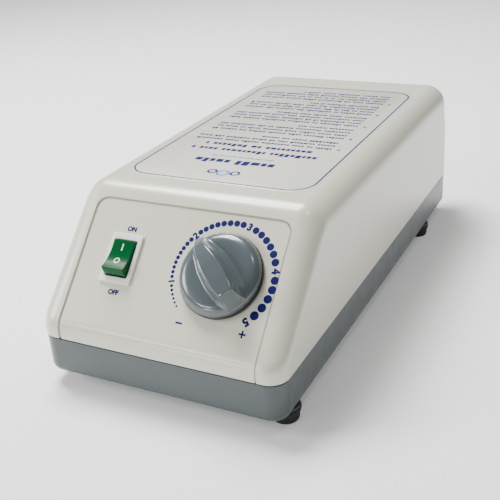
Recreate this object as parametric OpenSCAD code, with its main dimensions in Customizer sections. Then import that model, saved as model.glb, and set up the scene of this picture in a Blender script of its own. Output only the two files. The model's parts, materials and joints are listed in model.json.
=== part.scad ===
// Alternating-pressure air pump for a pressure relief mattress.
// Millimetres. Origin: centre of the footprint at floor level. +Z up, the
// sloped control panel faces -Y and +X is to the right of someone facing it.

/* [Casing] */
// Width of the casing
body_w = 112; // [110:1:120]
// Length of the casing, front to back
body_l = 238; // [234:1:246]
// Height of the upper shell above the parting line
cover_h = 53.5; // [53:0.5:60]
// Height of the lower tray below the parting line
tray_h = 17.5; // [17.5:0.5:20]
// Height of the rubber feet below the tray
foot_h = 6; // [5:0.5:8]
// Wall thickness of both shells
wall = 2.5; // [2.3:0.1:2.5]
// Radius of the upright corners
corner_r = 8; // [7:0.5:9]
// Radius of the rounding around the top face
top_r = 10.5; // [9:0.5:11]

/* [Control panel] */
// Slope of the control panel from the horizontal, in degrees
panel_tilt = 45.6; // [45:0.2:46]
// Height of the upright strip between the parting line and the slope
panel_foot = 7.6; // [7:0.1:8]
// Depth of the recessed panel field
panel_recess = 0.5; // [0.3:0.1:0.6]
// Distance of the switch and the knob up the slope
control_t = 31.3; // [31:0.1:32]
// Distance of the switch to the left of the middle
switch_x = 24.9; // [24:0.1:26]
// Distance of the knob to the right of the middle
knob_x = 21.9; // [21:0.1:22]
// Diameter of the knob's flange
knob_d = 34.5; // [33:0.5:36]
// Angle of the knob's pointer to the left of upright, in degrees
knob_turn = 46; // [0:1:90]
// Full swing of the rocker between on and off, in degrees
rocker_swing = 25; // [20:1:25]

/* [Air tubes] */
// Outer radius of the air tubes
tube_r = 3.4; // [3.2:0.1:3.5]
// Inner radius of the air tubes
tube_bore_r = 2.1; // [2.1:0.1:2.3]
// Radius of the outlet spigots that the mattress hoses push over
spigot_r = 3; // [2.8:0.1:3.2]
// Straight length of the outlet spigots
spigot_l = 12; // [10:1:14]

/* [Bed hooks] */
// Radius of the hook wire
hook_r = 2; // [1.8:0.1:2.2]
// Reach of each hook from its pivot leg to its turned-down end
hook_reach = 28; // [26:1:30]

/* [Hidden] */
$fn = 48;

IVORY = [0.86, 0.86, 0.81];
SLATE = [0.38, 0.41, 0.43];
DARK = [0.12, 0.12, 0.13];
STEEL = [0.72, 0.73, 0.75];
COPPER = [0.72, 0.40, 0.22];
CLEAR = [0.85, 0.88, 0.86];
NYLON = [0.82, 0.83, 0.80];

// running clearance around every turning or sliding pin
gap = 0.05;
cut = 1;

side_x = body_w / 2;
front_y = -body_l / 2;
back_y = body_l / 2;
floor_z = foot_h;
inside_z = floor_z + wall;
part_z = foot_h + tray_h;
top_z = part_z + cover_h;

// foot of the sloped panel and its rise and run
slope_y = front_y + 0.7;
slope_z = part_z + panel_foot;
slope_s = sin(panel_tilt);
slope_c = cos(panel_tilt);
// thickness of the wall left under the recessed field
field_wall = wall - panel_recess;

// where the back starts to lean in, and how far it leans
lean_z = part_z + 24.5;
lean = 3;

foot_r = 5.5;
foot_pad_h = 0.8;
foot_x = side_x - 5.8;
foot_front_y = front_y + 14.5;
foot_back_y = back_y - 42;
screw_r = 1.45;
screw_hole_r = 1.5;
post_x = side_x - 14;
post_front_y = front_y + 19;
post_back_y = back_y - 11;
post_top_z = part_z + 0.5;

air_z = 40;
barb_r = tube_bore_r - gap;

// valve drive
valve_x = -28;
valve_y = -45;
outlet_dx = 6;
outlet_l = 15.3;
plate_z = 25;
rotor_z = 32;
stator_z = 36.1;

// compressor
base_z = 15;
base_t = 1.5;
frame_z = base_z + base_t;
core_z0 = 28;
core_z1 = 44;
core_y0 = 8;
pole_y = 38;
coil_mid_z = (core_z0 + core_z1) / 2;
arm_x = 9;
arm_pin_y = 83;
pump_y = 64;
pump_z = 38;
head_x = 20;
cover_x = 33;
isolator_x = 40;
isolator_ys = [12, 80];

// back fittings
nozzle_z = 36;
nozzle_xs = [valve_x - outlet_dx, valve_x + outlet_dx];
inlet_z = 44;
inlet_w = 31;
inlet_h = 34;
inlet_y = back_y;
flange_t = 2.5;
drawer_z = 35;
hook_x = side_x - 10;
hook_y = back_y + 6;
hook_top_z = part_z + 42.5;

filter_x = 28;
filter_y = -35;

// ---- shared shapes ----

function unit(v) = v / norm(v);

// rounded rectangle outline, inset by d from a w by l rectangle with corner radius r
function round_rect(w, l, r, d = 0) = [
    for (q = [0:3], k = [0:8])
        let (a = 90 * q + 90 * k / 8, sx = q == 0 || q == 3 ? 1 : -1, sy = q < 2 ? 1 : -1)
            [sx * (w / 2 - r) + (r - d) * cos(a), sy * (l / 2 - r) + (r - d) * sin(a)]
];

function panel_point(x, t, z) =
    [x, slope_y + t * slope_c - z * slope_s, slope_z + t * slope_s + z * slope_c];

module on_panel(x, t) {
    translate(panel_point(x, t, 0))
        rotate([panel_tilt, 0, 0])
            children();
}

// the recessed field that carries the switch and the knob
module on_field(x, t) {
    on_panel(x, t)
        translate([0, 0, -panel_recess])
            children();
}

module both_sides() {
    children();
    mirror([1, 0, 0]) children();
}

module at_corners(x, y0, y1) {
    for (sx = [-1, 1], y = [y0, y1])
        translate([sx * x, y, 0])
            children();
}

// turns local +Z to run along d, from p
module along(p, d) {
    translate(p)
        rotate([0, acos(unit(d)[2]), atan2(d[1], d[0])])
            children();
}

module ring(outer, inner) {
    difference() {
        circle(r = outer);
        if (inner > 0)
            circle(r = inner);
    }
}

module tube_piece(length, outer, inner) {
    linear_extrude(height = length)
        ring(outer, inner);
}

// one bend of a tube at corner p, from direction d1 to direction d2
module tube_bend(p, d1, d2, r, outer, inner) {
    turn = acos(d1 * d2);
    centre = p + unit(d2 - d1) * r / cos(turn / 2);
    x = (p - d1 * r * tan(turn / 2) - centre) / r;
    z = cross(x, d1);
    multmatrix([
        [x[0], d1[0], z[0], centre[0]],
        [x[1], d1[1], z[1], centre[1]],
        [x[2], d1[2], z[2], centre[2]],
        [0, 0, 0, 1]
    ])
        rotate_extrude(angle = turn)
            translate([r, 0])
                ring(outer, inner);
}

// a round tube or wire through a list of corner points
module tube_path(points, r, outer, inner = 0) {
    last = len(points) - 1;
    dirs = [for (i = [0:last - 1]) unit(points[i + 1] - points[i])];
    trims = [
        for (i = [0:last])
            i == 0 || i == last ? 0 : r * tan(acos(dirs[i - 1] * dirs[i]) / 2)
    ];
    for (i = [0:last - 1]) {
        a = points[i] + dirs[i] * trims[i];
        b = points[i + 1] - dirs[i] * trims[i + 1];
        along(a, dirs[i])
            tube_piece(norm(b - a), outer, inner);
    }
    for (i = [1:last - 1])
        tube_bend(points[i], dirs[i - 1], dirs[i], r, outer, inner);
}

// hose tail along +Z with sawtooth ridges
module barb(length) {
    pitch = length / 3;
    difference() {
        union() {
            cylinder(r = barb_r - 0.3, h = length);
            for (k = [0:2])
                translate([0, 0, k * pitch + 0.2])
                    cylinder(r1 = barb_r, r2 = barb_r - 0.25, h = pitch * 0.8);
        }
        translate([0, 0, -cut])
            cylinder(r = 1.2, h = length + 2 * cut);
    }
}

// pan-head screw with its head's underside at z = 0 and its shank going down
module pan_screw(length, head_r = 2.7, head_h = 2) {
    difference() {
        union() {
            cylinder(r = head_r, h = head_h);
            translate([0, 0, -length])
                cylinder(r = screw_r, h = length);
        }
        for (a = [0, 90])
            rotate([0, 0, a])
                translate([-head_r * 0.65, -0.35, head_h - 1])
                    cube([head_r * 1.3, 0.7, 2]);
    }
}

// ---- casing ----

// quarter-round dome as a stack of thin discs
module dome(r) {
    for (a = [0:15:90])
        translate([0, 0, r * sin(a) - 0.01])
            cylinder(r = max(r * cos(a), 0.01), h = 0.01, $fn = 32);
}

// the upper shell's outside, inset by d and starting at low_z
module cover_form(d, low_z) {
    dome_z = top_z - top_r;
    slope_top_z = slope_z + (slope_s * (front_y + d - slope_y) - d) / slope_c;
    dome_front_y = slope_y + (top_r + slope_c * (dome_z - slope_z)) / slope_s;
    dome_back_y = back_y - lean - top_r;
    hull()
        both_sides() {
            translate([side_x - corner_r, front_y + corner_r, low_z])
                cylinder(r = corner_r - d, h = slope_top_z - low_z, $fn = 32);
            translate([side_x - corner_r, back_y - corner_r, low_z])
                cylinder(r = corner_r - d, h = lean_z - low_z, $fn = 32);
            for (y = [dome_front_y, dome_back_y])
                translate([side_x - top_r, y, dome_z])
                    dome(top_r - d);
        }
}

// space that the recessed panel field and its run-out over the bend clear
module panel_field_cut() {
    width = 90.8;
    reach = 57.6;
    on_panel(0, 0)
        translate([0, 0, -panel_recess])
            linear_extrude(height = 6)
                polygon([
                    for (p = round_rect(width, 2 * reach, 5.5))
                        [p[0], max(p[1], -12)]
                ]);
    translate([-width / 2, front_y - cut, part_z - cut])
        cube([width, cut + panel_recess, panel_foot + cut]);
}

module hook_lugs() {
    for (z = [part_z + 6.5, part_z + 26.5])
        both_sides()
            translate([hook_x, hook_y, z])
                difference() {
                    union() {
                        cylinder(r = 4.5, h = 6);
                        translate([-4, -8, 0])
                            cube([8, 8, 6]);
                    }
                    translate([0, 0, -cut])
                        cylinder(r = hook_r + gap, h = 6 + 2 * cut);
                }
}

module cover_bosses() {
    both_sides() {
        translate([post_x, post_front_y, post_top_z])
            cylinder(r = 3.5, h = 21.5);
        translate([post_x, post_back_y, post_top_z])
            cylinder(r = 3.5, h = 26);
        translate([post_x - 1.2, post_back_y + 2, post_top_z + 3.5])
            cube([2.4, 7, 22.5]);
    }
}

module label_outline(grow = 0) {
    translate([0, 14])
        polygon(round_rect(90, 152, 12, -grow));
}

module top_cover() {
    color(IVORY)
        difference() {
            union() {
                difference() {
                    cover_form(0, part_z);
                    cover_form(wall, part_z - cut);
                }
                cover_bosses();
                hook_lugs();
                translate([-inlet_w / 2 + 0.3, inlet_y - 3.5, part_z + 3.3])
                    cube([inlet_w - 0.6, 3.5, inlet_z + inlet_h / 2 + 1 - part_z - 3.3]);
            }
            panel_field_cut();
            translate([0, 0, top_z - 0.15])
                linear_extrude(height = cut)
                    label_outline(0.1);
            on_field(-switch_x, control_t)
                translate([-6.6, -9.7, -10])
                    cube([13.2, 19.4, 20]);
            on_field(knob_x, control_t)
                translate([0, 0, -10])
                    cylinder(r = 4.55, h = 20);
            at_corners(post_x, post_front_y, post_back_y)
                translate([0, 0, post_top_z - cut])
                    cylinder(r = screw_hole_r, h = 12);
            for (x = nozzle_xs)
                translate([x, back_y - 10, nozzle_z])
                    rotate([-90, 0, 0])
                        cylinder(r = 4.55, h = 20);
            translate([-13.7, inlet_y - 10, inlet_z - 15.2])
                cube([27.4, 20, 30.4]);
        }
}

// the lower shell's outside, inset by d, up to high_z
module tray_form(d, high_z) {
    edge_r = 3.5;
    hull()
        at_corners(side_x - corner_r, front_y + corner_r, back_y - corner_r) {
            for (a = [0:15:90])
                translate([0, 0, floor_z + edge_r - (edge_r - d) * sin(a)])
                    cylinder(r = corner_r - edge_r + (edge_r - d) * cos(a), h = 0.01, $fn = 32);
            translate([0, 0, floor_z + edge_r])
                cylinder(r = corner_r - d, h = high_z - floor_z - edge_r, $fn = 32);
        }
}

// upright ring that follows the casing's outline between two insets
module outline_ring(d_out, d_in, z0, z1) {
    translate([0, 0, z0])
        linear_extrude(height = z1 - z0)
            difference() {
                polygon(round_rect(body_w, body_l, corner_r, d_out));
                polygon(round_rect(body_w, body_l, corner_r, d_in));
            }
}

module tray_vents() {
    for (k = [-3:3])
        translate([-15, 48 + 7 * k, floor_z - cut])
            cube([30, 2.5, wall + 2 * cut]);
}

module bottom_tray() {
    isolator_pad_z = 10;
    color(SLATE)
        difference() {
            union() {
                difference() {
                    tray_form(0, part_z);
                    tray_form(wall, part_z + cut);
                }
                outline_ring(wall - 0.3, wall + 1.7, part_z - 4, part_z);
                outline_ring(wall + 0.2, wall + 1.7, part_z - 4, part_z + 3);
                at_corners(post_x, post_front_y, post_back_y)
                    translate([0, 0, floor_z + 0.5])
                        cylinder(r = 4.2, h = post_top_z - floor_z - 0.5);
                at_corners(foot_x - 0.1, foot_front_y, foot_back_y)
                    translate([0, 0, floor_z - foot_pad_h])
                        cylinder(r = foot_r + 0.4, h = foot_pad_h + 1);
                for (y = isolator_ys)
                    both_sides()
                        translate([isolator_x, y, floor_z + 0.5])
                            cylinder(r = 6, h = isolator_pad_z - floor_z - 0.5);
                translate([12, -4, floor_z + 0.5])
                    cube([4, 4, air_z - 6 - floor_z - 0.5]);
            }
            at_corners(post_x, post_front_y, post_back_y) {
                translate([0, 0, floor_z - cut])
                    cylinder(r = 3, h = part_z - 3.5 - floor_z + cut);
                translate([0, 0, floor_z])
                    cylinder(r = screw_hole_r, h = 30);
            }
            at_corners(foot_x, foot_front_y, foot_back_y)
                translate([0, 0, floor_z - 3])
                    cylinder(r = 2, h = 10);
            for (y = isolator_ys)
                both_sides()
                    translate([isolator_x, y, floor_z + 0.8])
                        cylinder(r = screw_hole_r, h = 10);
            for (y = [valve_y - 26.5, valve_y + 26.5])
                translate([valve_x, y, floor_z + 0.8])
                    cylinder(r = screw_hole_r, h = 10);
            translate([filter_x, filter_y, floor_z - cut])
                cylinder(r = 15, h = wall + 2 * cut);
            tray_vents();
        }
}

module rubber_feet() {
    color(DARK)
        at_corners(foot_x, foot_front_y, foot_back_y)
            rotate_extrude()
                polygon([
                    [0, 0], [foot_r - 0.8, 0], [foot_r, 0.8], [foot_r, floor_z - foot_pad_h],
                    [1.95, floor_z - foot_pad_h], [1.95, inside_z], [2.5, inside_z],
                    [1.2, inside_z + 2.2], [0, inside_z + 2.2]
                ]);
}

module case_screws() {
    color(STEEL)
        at_corners(post_x, post_front_y, post_back_y)
            translate([0, 0, part_z - 3.5])
                mirror([0, 0, 1])
                    pan_screw(13);
}

module instruction_label() {
    color([0.9, 0.9, 0.88])
        translate([0, 0, top_z - 0.15])
            linear_extrude(height = 0.15)
                label_outline();
}

module rating_label() {
    color([0.8, 0.82, 0.84])
        translate([-22, -58, floor_z - 0.15])
            cube([32, 46, 0.15]);
}

// ---- on/off switch ----

rocker_r = 7.6;
rocker_half_w = 5.15;
rocker_pin_r = 1;

module switch_housing() {
    color([0.9, 0.9, 0.88])
        on_field(-switch_x, control_t)
            difference() {
                union() {
                    translate([-7.5, -10.5, 0])
                        cube([15, 21, 2.2]);
                    translate([-6.5, -9.6, -15])
                        cube([13, 19.2, 15.5]);
                }
                translate([-5.35, -8, -9])
                    cube([10.7, 16, 15]);
                translate([-6.2, 0, panel_recess])
                    rotate([0, 90, 0])
                        cylinder(r = rocker_pin_r + gap, h = 12.4);
                for (x = [-3.3, 3.3], y = [-4.5, 4.5])
                    translate([x - 0.4, y - 2.4, -16])
                        cube([0.8, 4.8, 8]);
            }
}

// side view of the rocker in its middle position: an arc about the pivot with a
// shallow valley between the two raised ends
module rocker_profile() {
    end_a = 28;
    polygon(concat(
        [[0, 2.4]],
        [for (k = [0:8]) let (a = end_a - (end_a + 24) * k / 8) rocker_r * [cos(a), sin(a)]],
        [for (k = [0:8]) let (a = 204 - (24 + end_a) * k / 8) rocker_r * [cos(a), sin(a)]]
    ));
}

module switch_rocker() {
    color([0.05, 0.5, 0.28])
        on_panel(-switch_x, control_t)
            rotate([-rocker_swing / 2, 0, 0])
                union() {
                    translate([-rocker_half_w, 0, 0])
                        rotate([90, 0, 90])
                            linear_extrude(height = 2 * rocker_half_w)
                                rocker_profile();
                    translate([-6, 0, 0])
                        rotate([0, 90, 0])
                            cylinder(r = rocker_pin_r, h = 12);
                }
}

module switch_terminals() {
    color(STEEL)
        on_field(-switch_x, control_t)
            for (x = [-3.3, 3.3], y = [-4.5, 4.5])
                translate([x - 0.4, y - 2.4, -22])
                    cube([0.8, 4.8, 14]);
}

module switch_lamp() {
    color([0.5, 0.9, 0.5])
        on_field(-switch_x, control_t)
            translate([-2, 0, -7.2])
                rotate([0, 90, 0]) {
                    cylinder(r = 1.5, h = 4);
                    translate([0, 0, 4])
                        sphere(r = 1.5);
                }
}

// ---- pressure regulator and its knob ----

// the port leaves the sloping body level with the other air fittings
port_depth = (slope_z + control_t * slope_s - air_z) / slope_c;
port_point = panel_point(knob_x, control_t, -port_depth);
port_l = 17;

module pressure_knob() {
    color(SLATE)
        on_field(knob_x, control_t)
            rotate([0, 0, knob_turn])
                difference() {
                    union() {
                        rotate_extrude($fn = 96)
                            polygon(concat(
                                [[0, 1], [knob_d / 2, 1], [knob_d / 2, 2.6]],
                                [for (a = [10:10:90]) [knob_d / 2 * cos(a), 2.6 + 4.4 * sin(a)]]
                            ));
                        hull() {
                            translate([-2.4, -14.5, 4])
                                cube([4.8, 1, 7]);
                            translate([-4, 3, 4])
                                cube([8, 3, 9.2]);
                            translate([-3.2, 15, 3])
                                cube([6.4, 1, 6]);
                            translate([-2, 17.2, 2.2])
                                cube([4, 1, 4.2]);
                        }
                    }
                    difference() {
                        translate([0, 0, 0.5])
                            cylinder(r = knob_d / 2 - 2, h = 3);
                        cylinder(r = 5.5, h = 5);
                    }
                    translate([0, 0, 0.5])
                        cylinder(r = 7.2, h = 2.9);
                    translate([0, 0, 0.5])
                        cylinder(r = 3, h = 9.5);
                }
}

module regulator_body() {
    color(NYLON)
        difference() {
            union() {
                on_field(knob_x, control_t) {
                    translate([0, 0, -field_wall - 1])
                        cylinder(r = 4.5, h = field_wall + 4);
                    translate([0, 0, -30])
                        cylinder(r = 9, h = 29.9 - field_wall);
                }
                translate(port_point)
                    rotate([-90, 0, 0]) {
                        cylinder(r = 3, h = port_l);
                        translate([0, 0, port_l])
                            barb(10);
                    }
            }
            on_field(knob_x, control_t) {
                translate([0, 0, -12.5])
                    cylinder(r = 3 + gap, h = 20);
                translate([0, 0, -25])
                    cylinder(r = 4.2, h = 13);
                translate([0, 0, -30 - cut])
                    cylinder(r = 1, h = 7);
            }
            translate(port_point)
                rotate([-90, 0, 0])
                    cylinder(r = 1.2, h = port_l + cut);
        }
}

module regulator_spindle() {
    color(STEEL)
        on_field(knob_x, control_t)
            difference() {
                translate([0, 0, -12])
                    cylinder(r = 3, h = 22);
                translate([0, 0, -12 - cut])
                    cylinder(r = 1.5 + gap, h = 8 + cut);
                translate([0, 0, -1.6])
                    difference() {
                        cylinder(r = 4, h = 1.2);
                        cylinder(r = 2.1, h = 1.2);
                    }
            }
}

module regulator_needle() {
    color([0.8, 0.66, 0.35])
        on_field(knob_x, control_t)
            rotate_extrude()
                polygon([
                    [0, -22.5], [0.3, -22.5], [1.6, -17], [3.6, -17], [3.6, -15], [1.5, -15],
                    [1.5, -5.5], [0, -5.5]
                ]);
}

module regulator_nut() {
    color(STEEL)
        on_field(knob_x, control_t)
            difference() {
                cylinder(r = 6.8, h = 2, $fn = 6);
                translate([0, 0, -cut])
                    cylinder(r = 4.5, h = 4);
            }
}

module regulator_oring() {
    color(DARK)
        on_field(knob_x, control_t)
            translate([0, 0, -1])
                rotate_extrude()
                    translate([2.57, 0])
                        circle(r = 0.45);
}

// ---- rotary valve and its drive ----

module at_valve(z = 0) {
    translate([valve_x, valve_y, z])
        children();
}

motor_ear_r = 24.5;
stator_ear_r = 19;

module valve_motor() {
    color(STEEL)
        at_valve()
            difference() {
                union() {
                    translate([0, 0, 9.5])
                        cylinder(r = 21, h = plate_z - 9.5, $fn = 96);
                    for (a = [45, 225])
                        rotate([0, 0, a])
                            translate([18, -3.5, plate_z - 1])
                                cube([motor_ear_r - 18 + 3, 7, 1]);
                }
                translate([0, 0, 11.5])
                    cylinder(r = 2.5 + gap, h = 20);
                for (a = [45, 225])
                    rotate([0, 0, a])
                        translate([motor_ear_r, 0, plate_z - 4])
                            cylinder(r = screw_hole_r, h = 6);
            }
}

module motor_shaft() {
    color(STEEL)
        at_valve() {
            translate([0, 0, 12])
                cylinder(r = 2.5, h = 23.5);
            translate([0, 0, 26.8])
                cylinder(r = 5, h = 1.2);
        }
}

module valve_rotor() {
    color([0.9, 0.9, 0.9])
        at_valve(rotor_z)
            difference() {
                cylinder(r = 11, h = stator_z - 0.1 - rotor_z);
                translate([0, 0, -cut])
                    cylinder(r = 2.5, h = 10);
                translate([0, 0, 2.5])
                    rotate_extrude(angle = 150)
                        translate([5, 0])
                            square([3, 4]);
            }
}

module valve_stator() {
    color(NYLON)
        at_valve()
            difference() {
                union() {
                    translate([0, 0, stator_z])
                        cylinder(r = 15, h = 7.9, $fn = 96);
                    for (a = [135, 315])
                        rotate([0, 0, a]) {
                            translate([12, -3.5, 38])
                                cube([stator_ear_r - 12, 7, 3]);
                            translate([stator_ear_r, 0, 38])
                                cylinder(r = 3.6, h = 3);
                        }
                    for (dx = [-outlet_dx, outlet_dx]) {
                        translate([dx, 9, air_z])
                            rotate([-90, 0, 0])
                                cylinder(r = 3, h = outlet_l - 9);
                        translate([dx, outlet_l, air_z])
                            rotate([-90, 0, 0])
                                barb(9);
                    }
                    translate([12, 0, air_z])
                        rotate([0, 90, 0])
                            cylinder(r = 3, h = 4);
                    translate([16, 0, air_z])
                        rotate([0, 90, 0])
                            barb(10);
                }
                for (dx = [-outlet_dx, outlet_dx]) {
                    translate([dx, 0, air_z])
                        rotate([-90, 0, 0])
                            cylinder(r = 1.2, h = outlet_l + 2);
                    translate([dx, 2, stator_z - cut])
                        cylinder(r = 1.1, h = air_z - stator_z + cut);
                }
                translate([0, 0, air_z])
                    rotate([0, 90, 0])
                        cylinder(r = 1.2, h = 18);
                for (a = [135, 315])
                    rotate([0, 0, a])
                        translate([stator_ear_r, 0, 30])
                            cylinder(r = screw_hole_r, h = 20);
            }
}

// three turns of flat wire that press the rotor against the stator
module valve_spring() {
    turns = 3;
    height = rotor_z - 28;
    color(STEEL)
        at_valve(28)
            linear_extrude(height = height, twist = -360 * turns, slices = 12 * turns, $fn = 12)
                polygon(concat(
                    [for (a = [0:30:180]) 4.6 * [cos(a), sin(a)]],
                    [for (a = [180:-30:0]) 3.7 * [cos(a), sin(a)]]
                ));
}

module valve_bracket() {
    leg_x = 7;
    color(STEEL)
        at_valve()
            difference() {
                union() {
                    intersection() {
                        translate([-23, -23, plate_z])
                            cube([46, 46, 1.5]);
                        translate([0, 0, plate_z])
                            cylinder(r = 28.5, h = 1.5);
                    }
                    for (a = [0, 180])
                        rotate([0, 0, a]) {
                            translate([-leg_x, 21.5, inside_z])
                                cube([2 * leg_x, 1.5, plate_z + 1.5 - inside_z]);
                            translate([-leg_x, 21.5, inside_z])
                                cube([2 * leg_x, 8.5, 1.5]);
                        }
                    for (a = [135, 315])
                        rotate([0, 0, a])
                            translate([stator_ear_r, 0, plate_z + 1])
                                cylinder(r = 3, h = 37 - plate_z);
                }
                translate([0, 0, plate_z - cut])
                    cylinder(r = 6, h = 4);
                for (a = [45, 225])
                    rotate([0, 0, a])
                        translate([motor_ear_r, 0, plate_z - cut])
                            cylinder(r = screw_hole_r, h = 6);
                for (a = [135, 315])
                    rotate([0, 0, a])
                        translate([stator_ear_r, 0, plate_z + 2])
                            cylinder(r = screw_hole_r, h = 20);
                for (y = [-26.5, 26.5])
                    translate([0, y, inside_z - cut])
                        cylinder(r = screw_hole_r, h = 4);
            }
}

module valve_screws() {
    color(STEEL)
        at_valve() {
            for (a = [45, 225])
                rotate([0, 0, a])
                    translate([motor_ear_r, 0, plate_z + 1.5])
                        pan_screw(4);
            for (a = [135, 315])
                rotate([0, 0, a])
                    translate([stator_ear_r, 0, 41])
                        pan_screw(10);
            for (y = [-26.5, 26.5])
                translate([0, y, inside_z + 1.5])
                    pan_screw(3);
        }
}

// ---- compressor: one coil swings two magnet arms, each works a diaphragm ----

module compressor_base() {
    color(STEEL)
        translate([0, 47, base_z])
            linear_extrude(height = base_t)
                difference() {
                    polygon(round_rect(92, 87, 5));
                    for (sx = [-1, 1], y = isolator_ys)
                        translate([sx * isolator_x, y - 47])
                            circle(r = 3);
                }
}

module isolator_mounts() {
    top = frame_z;
    color(DARK)
        for (y = isolator_ys)
            both_sides()
                translate([isolator_x, y, 0])
                    rotate_extrude()
                        polygon([
                            [1.6, 10], [5.6, 10], [5.6, base_z], [2.95, base_z],
                            [2.95, top], [4.8, top], [4.8, top + 2], [1.6, top + 2]
                        ]);
}

module isolator_screws() {
    color(STEEL)
        for (y = isolator_ys)
            both_sides()
                translate([isolator_x, y, frame_z + 2])
                    pan_screw(11.5, 3.2);
}

module pump_frame() {
    color(NYLON)
        difference() {
            union() {
                translate([-30, core_y0, frame_z])
                    cube([60, 82.5, 3.5]);
                both_sides() {
                    translate([17, pump_y - 16, frame_z + 3])
                        cube([3, 32, 34]);
                    translate([16, core_y0 + 2, frame_z + 3])
                        cube([8, 26, core_z0 - frame_z - 3]);
                }
                for (z = [27.6, 45])
                    translate([-16, 78, z])
                        cube([32, 12.5, 3.5]);
                translate([-16, 88, frame_z + 3])
                    cube([32, 2.5, 48.5 - frame_z - 3]);
            }
            both_sides() {
                translate([16, pump_y, pump_z])
                    rotate([0, 90, 0])
                        cylinder(r = 12, h = 5);
                translate([0, 0, 0])
                    head_screw_spots()
                        translate([0, 0, 16])
                            cylinder(r = screw_hole_r, h = 5);
                translate([arm_x, arm_pin_y, 20.5])
                    cylinder(r = 2, h = 40);
            }
        }
}

// the four screw axes of the right-hand pump head, local +Z along +X
module head_screw_spots() {
    for (dy = [-12, 12], dz = [-12, 12])
        translate([0, pump_y + dy, pump_z + dz])
            rotate([0, 90, 0])
                children();
}

module coil_core() {
    color([0.45, 0.46, 0.48])
        translate([0, core_y0, core_z0])
            linear_extrude(height = core_z1 - core_z0) {
                polygon([
                    [-24, 0], [24, 0], [24, 30], [16, 30], [16, 8], [6, 8], [6, 30],
                    [-6, 30], [-6, 8], [-16, 8], [-16, 30], [-24, 30]
                ]);
            }
}

module coil_bobbin() {
    color([0.15, 0.15, 0.16])
        difference() {
            union() {
                translate([-7.2, 16.5, core_z0 - 1.2])
                    cube([14.4, 21, core_z1 - core_z0 + 2.4]);
                for (y = [16.5, 36])
                    translate([-15, y, coil_mid_z - 14])
                        cube([30, 1.5, 28]);
            }
            translate([-6.05, 10, core_z0 - 0.05])
                cube([12.1, 40, core_z1 - core_z0 + 0.1]);
        }
}

module coil_winding() {
    color(COPPER)
        difference() {
            translate([0, 36, coil_mid_z])
                rotate([90, 0, 0])
                    linear_extrude(height = 18)
                        polygon(round_rect(28.8, 27, 5));
            translate([-7.2, 10, core_z0 - 1.2])
                cube([14.4, 40, core_z1 - core_z0 + 2.4]);
        }
}

// right-hand swing arm; the left one is its mirror image
module swing_arm() {
    difference() {
        union() {
            translate([arm_x - 2, 45, 33])
                cube([4, arm_pin_y - 45, 10]);
            translate([arm_x - 4, 44, 31])
                cube([12, 2, 14]);
            translate([arm_x, arm_pin_y, 31.2])
                cylinder(r = 4.5, h = 13.7);
            translate([arm_x + 1, pump_y, pump_z])
                rotate([0, 90, 0])
                    cylinder(r = 4, h = 3);
        }
        translate([arm_x, arm_pin_y, 20])
            cylinder(r = 2 + gap, h = 40);
    }
}

module swing_magnet() {
    translate([arm_x - 3, pole_y + 1.5, 31.5])
        cube([10, 4.5, 13]);
}

module arm_left() {
    color([0.2, 0.2, 0.22])
        mirror([1, 0, 0])
            swing_arm();
}

module arm_right() {
    color([0.2, 0.2, 0.22])
        swing_arm();
}

module magnet_left() {
    color([0.6, 0.6, 0.62])
        mirror([1, 0, 0])
            swing_magnet();
}

module magnet_right() {
    color([0.6, 0.6, 0.62])
        swing_magnet();
}

module arm_pins() {
    color(STEEL)
        both_sides()
            translate([arm_x, arm_pin_y, 27.6])
                cylinder(r = 2, h = 21.4);
}

module diaphragms() {
    color(DARK)
        both_sides()
            translate([0, pump_y, pump_z])
                rotate([0, 90, 0])
                    rotate_extrude()
                        polygon([
                            [0, arm_x + 4], [3, arm_x + 4], [3, head_x - 2], [8, head_x - 2],
                            [9, head_x], [14, head_x], [14, head_x + 1.5], [8.5, head_x + 1.5],
                            [7.5, head_x - 0.5], [0, head_x - 0.5]
                        ]);
}

port_dy = 7;

module pump_heads() {
    color(NYLON)
        both_sides()
            difference() {
                translate([head_x, pump_y - 15, pump_z - 15])
                    cube([cover_x - head_x, 30, 30]);
                translate([head_x - cut, pump_y, pump_z])
                    rotate([0, 90, 0])
                        cylinder(r = 14.1, h = cut + 1.5);
                translate([head_x, pump_y, pump_z])
                    rotate([0, 90, 0])
                        cylinder(r = 11, h = 5);
                for (dy = [-port_dy, port_dy])
                    translate([head_x + 4, pump_y + dy, pump_z])
                        rotate([0, 90, 0])
                            cylinder(r = 2, h = 12);
                head_screw_spots()
                    cylinder(r = screw_hole_r, h = 60);
            }
}

module valve_flaps() {
    color([0.75, 0.3, 0.2])
        both_sides()
            for (dy = [-port_dy, port_dy])
                translate([cover_x, pump_y + dy, pump_z])
                    rotate([0, 90, 0])
                        difference() {
                            cylinder(r = 4.5, h = 1);
                            translate([0, 0, -cut])
                                cylinder(r = 0.8, h = 3);
                        }
}

module head_covers() {
    barb_x = 39;
    color(NYLON)
        both_sides()
            difference() {
                union() {
                    translate([cover_x, pump_y - 15, pump_z - 15])
                        cube([11, 30, 30]);
                    translate([barb_x, pump_y - 15, air_z])
                        rotate([90, 0, 0])
                            barb(9);
                }
                for (dy = [-port_dy, port_dy])
                    translate([cover_x - cut, pump_y + dy - 5, pump_z - 7])
                        cube([cut + 9, 10, 14]);
                translate([barb_x, pump_y - 10, air_z])
                    rotate([90, 0, 0])
                        cylinder(r = 1.2, h = 8);
                translate([barb_x, pump_y + 10, pump_z])
                    rotate([-90, 0, 0])
                        cylinder(r = 2.5, h = 8);
                head_screw_spots()
                    cylinder(r = screw_hole_r, h = 60);
            }
}

module head_screws() {
    color(STEEL)
        both_sides()
            head_screw_spots()
                translate([0, 0, cover_x + 11])
                    pan_screw(26.8, 2.5, 1.6);
}

// ---- air path ----

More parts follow.
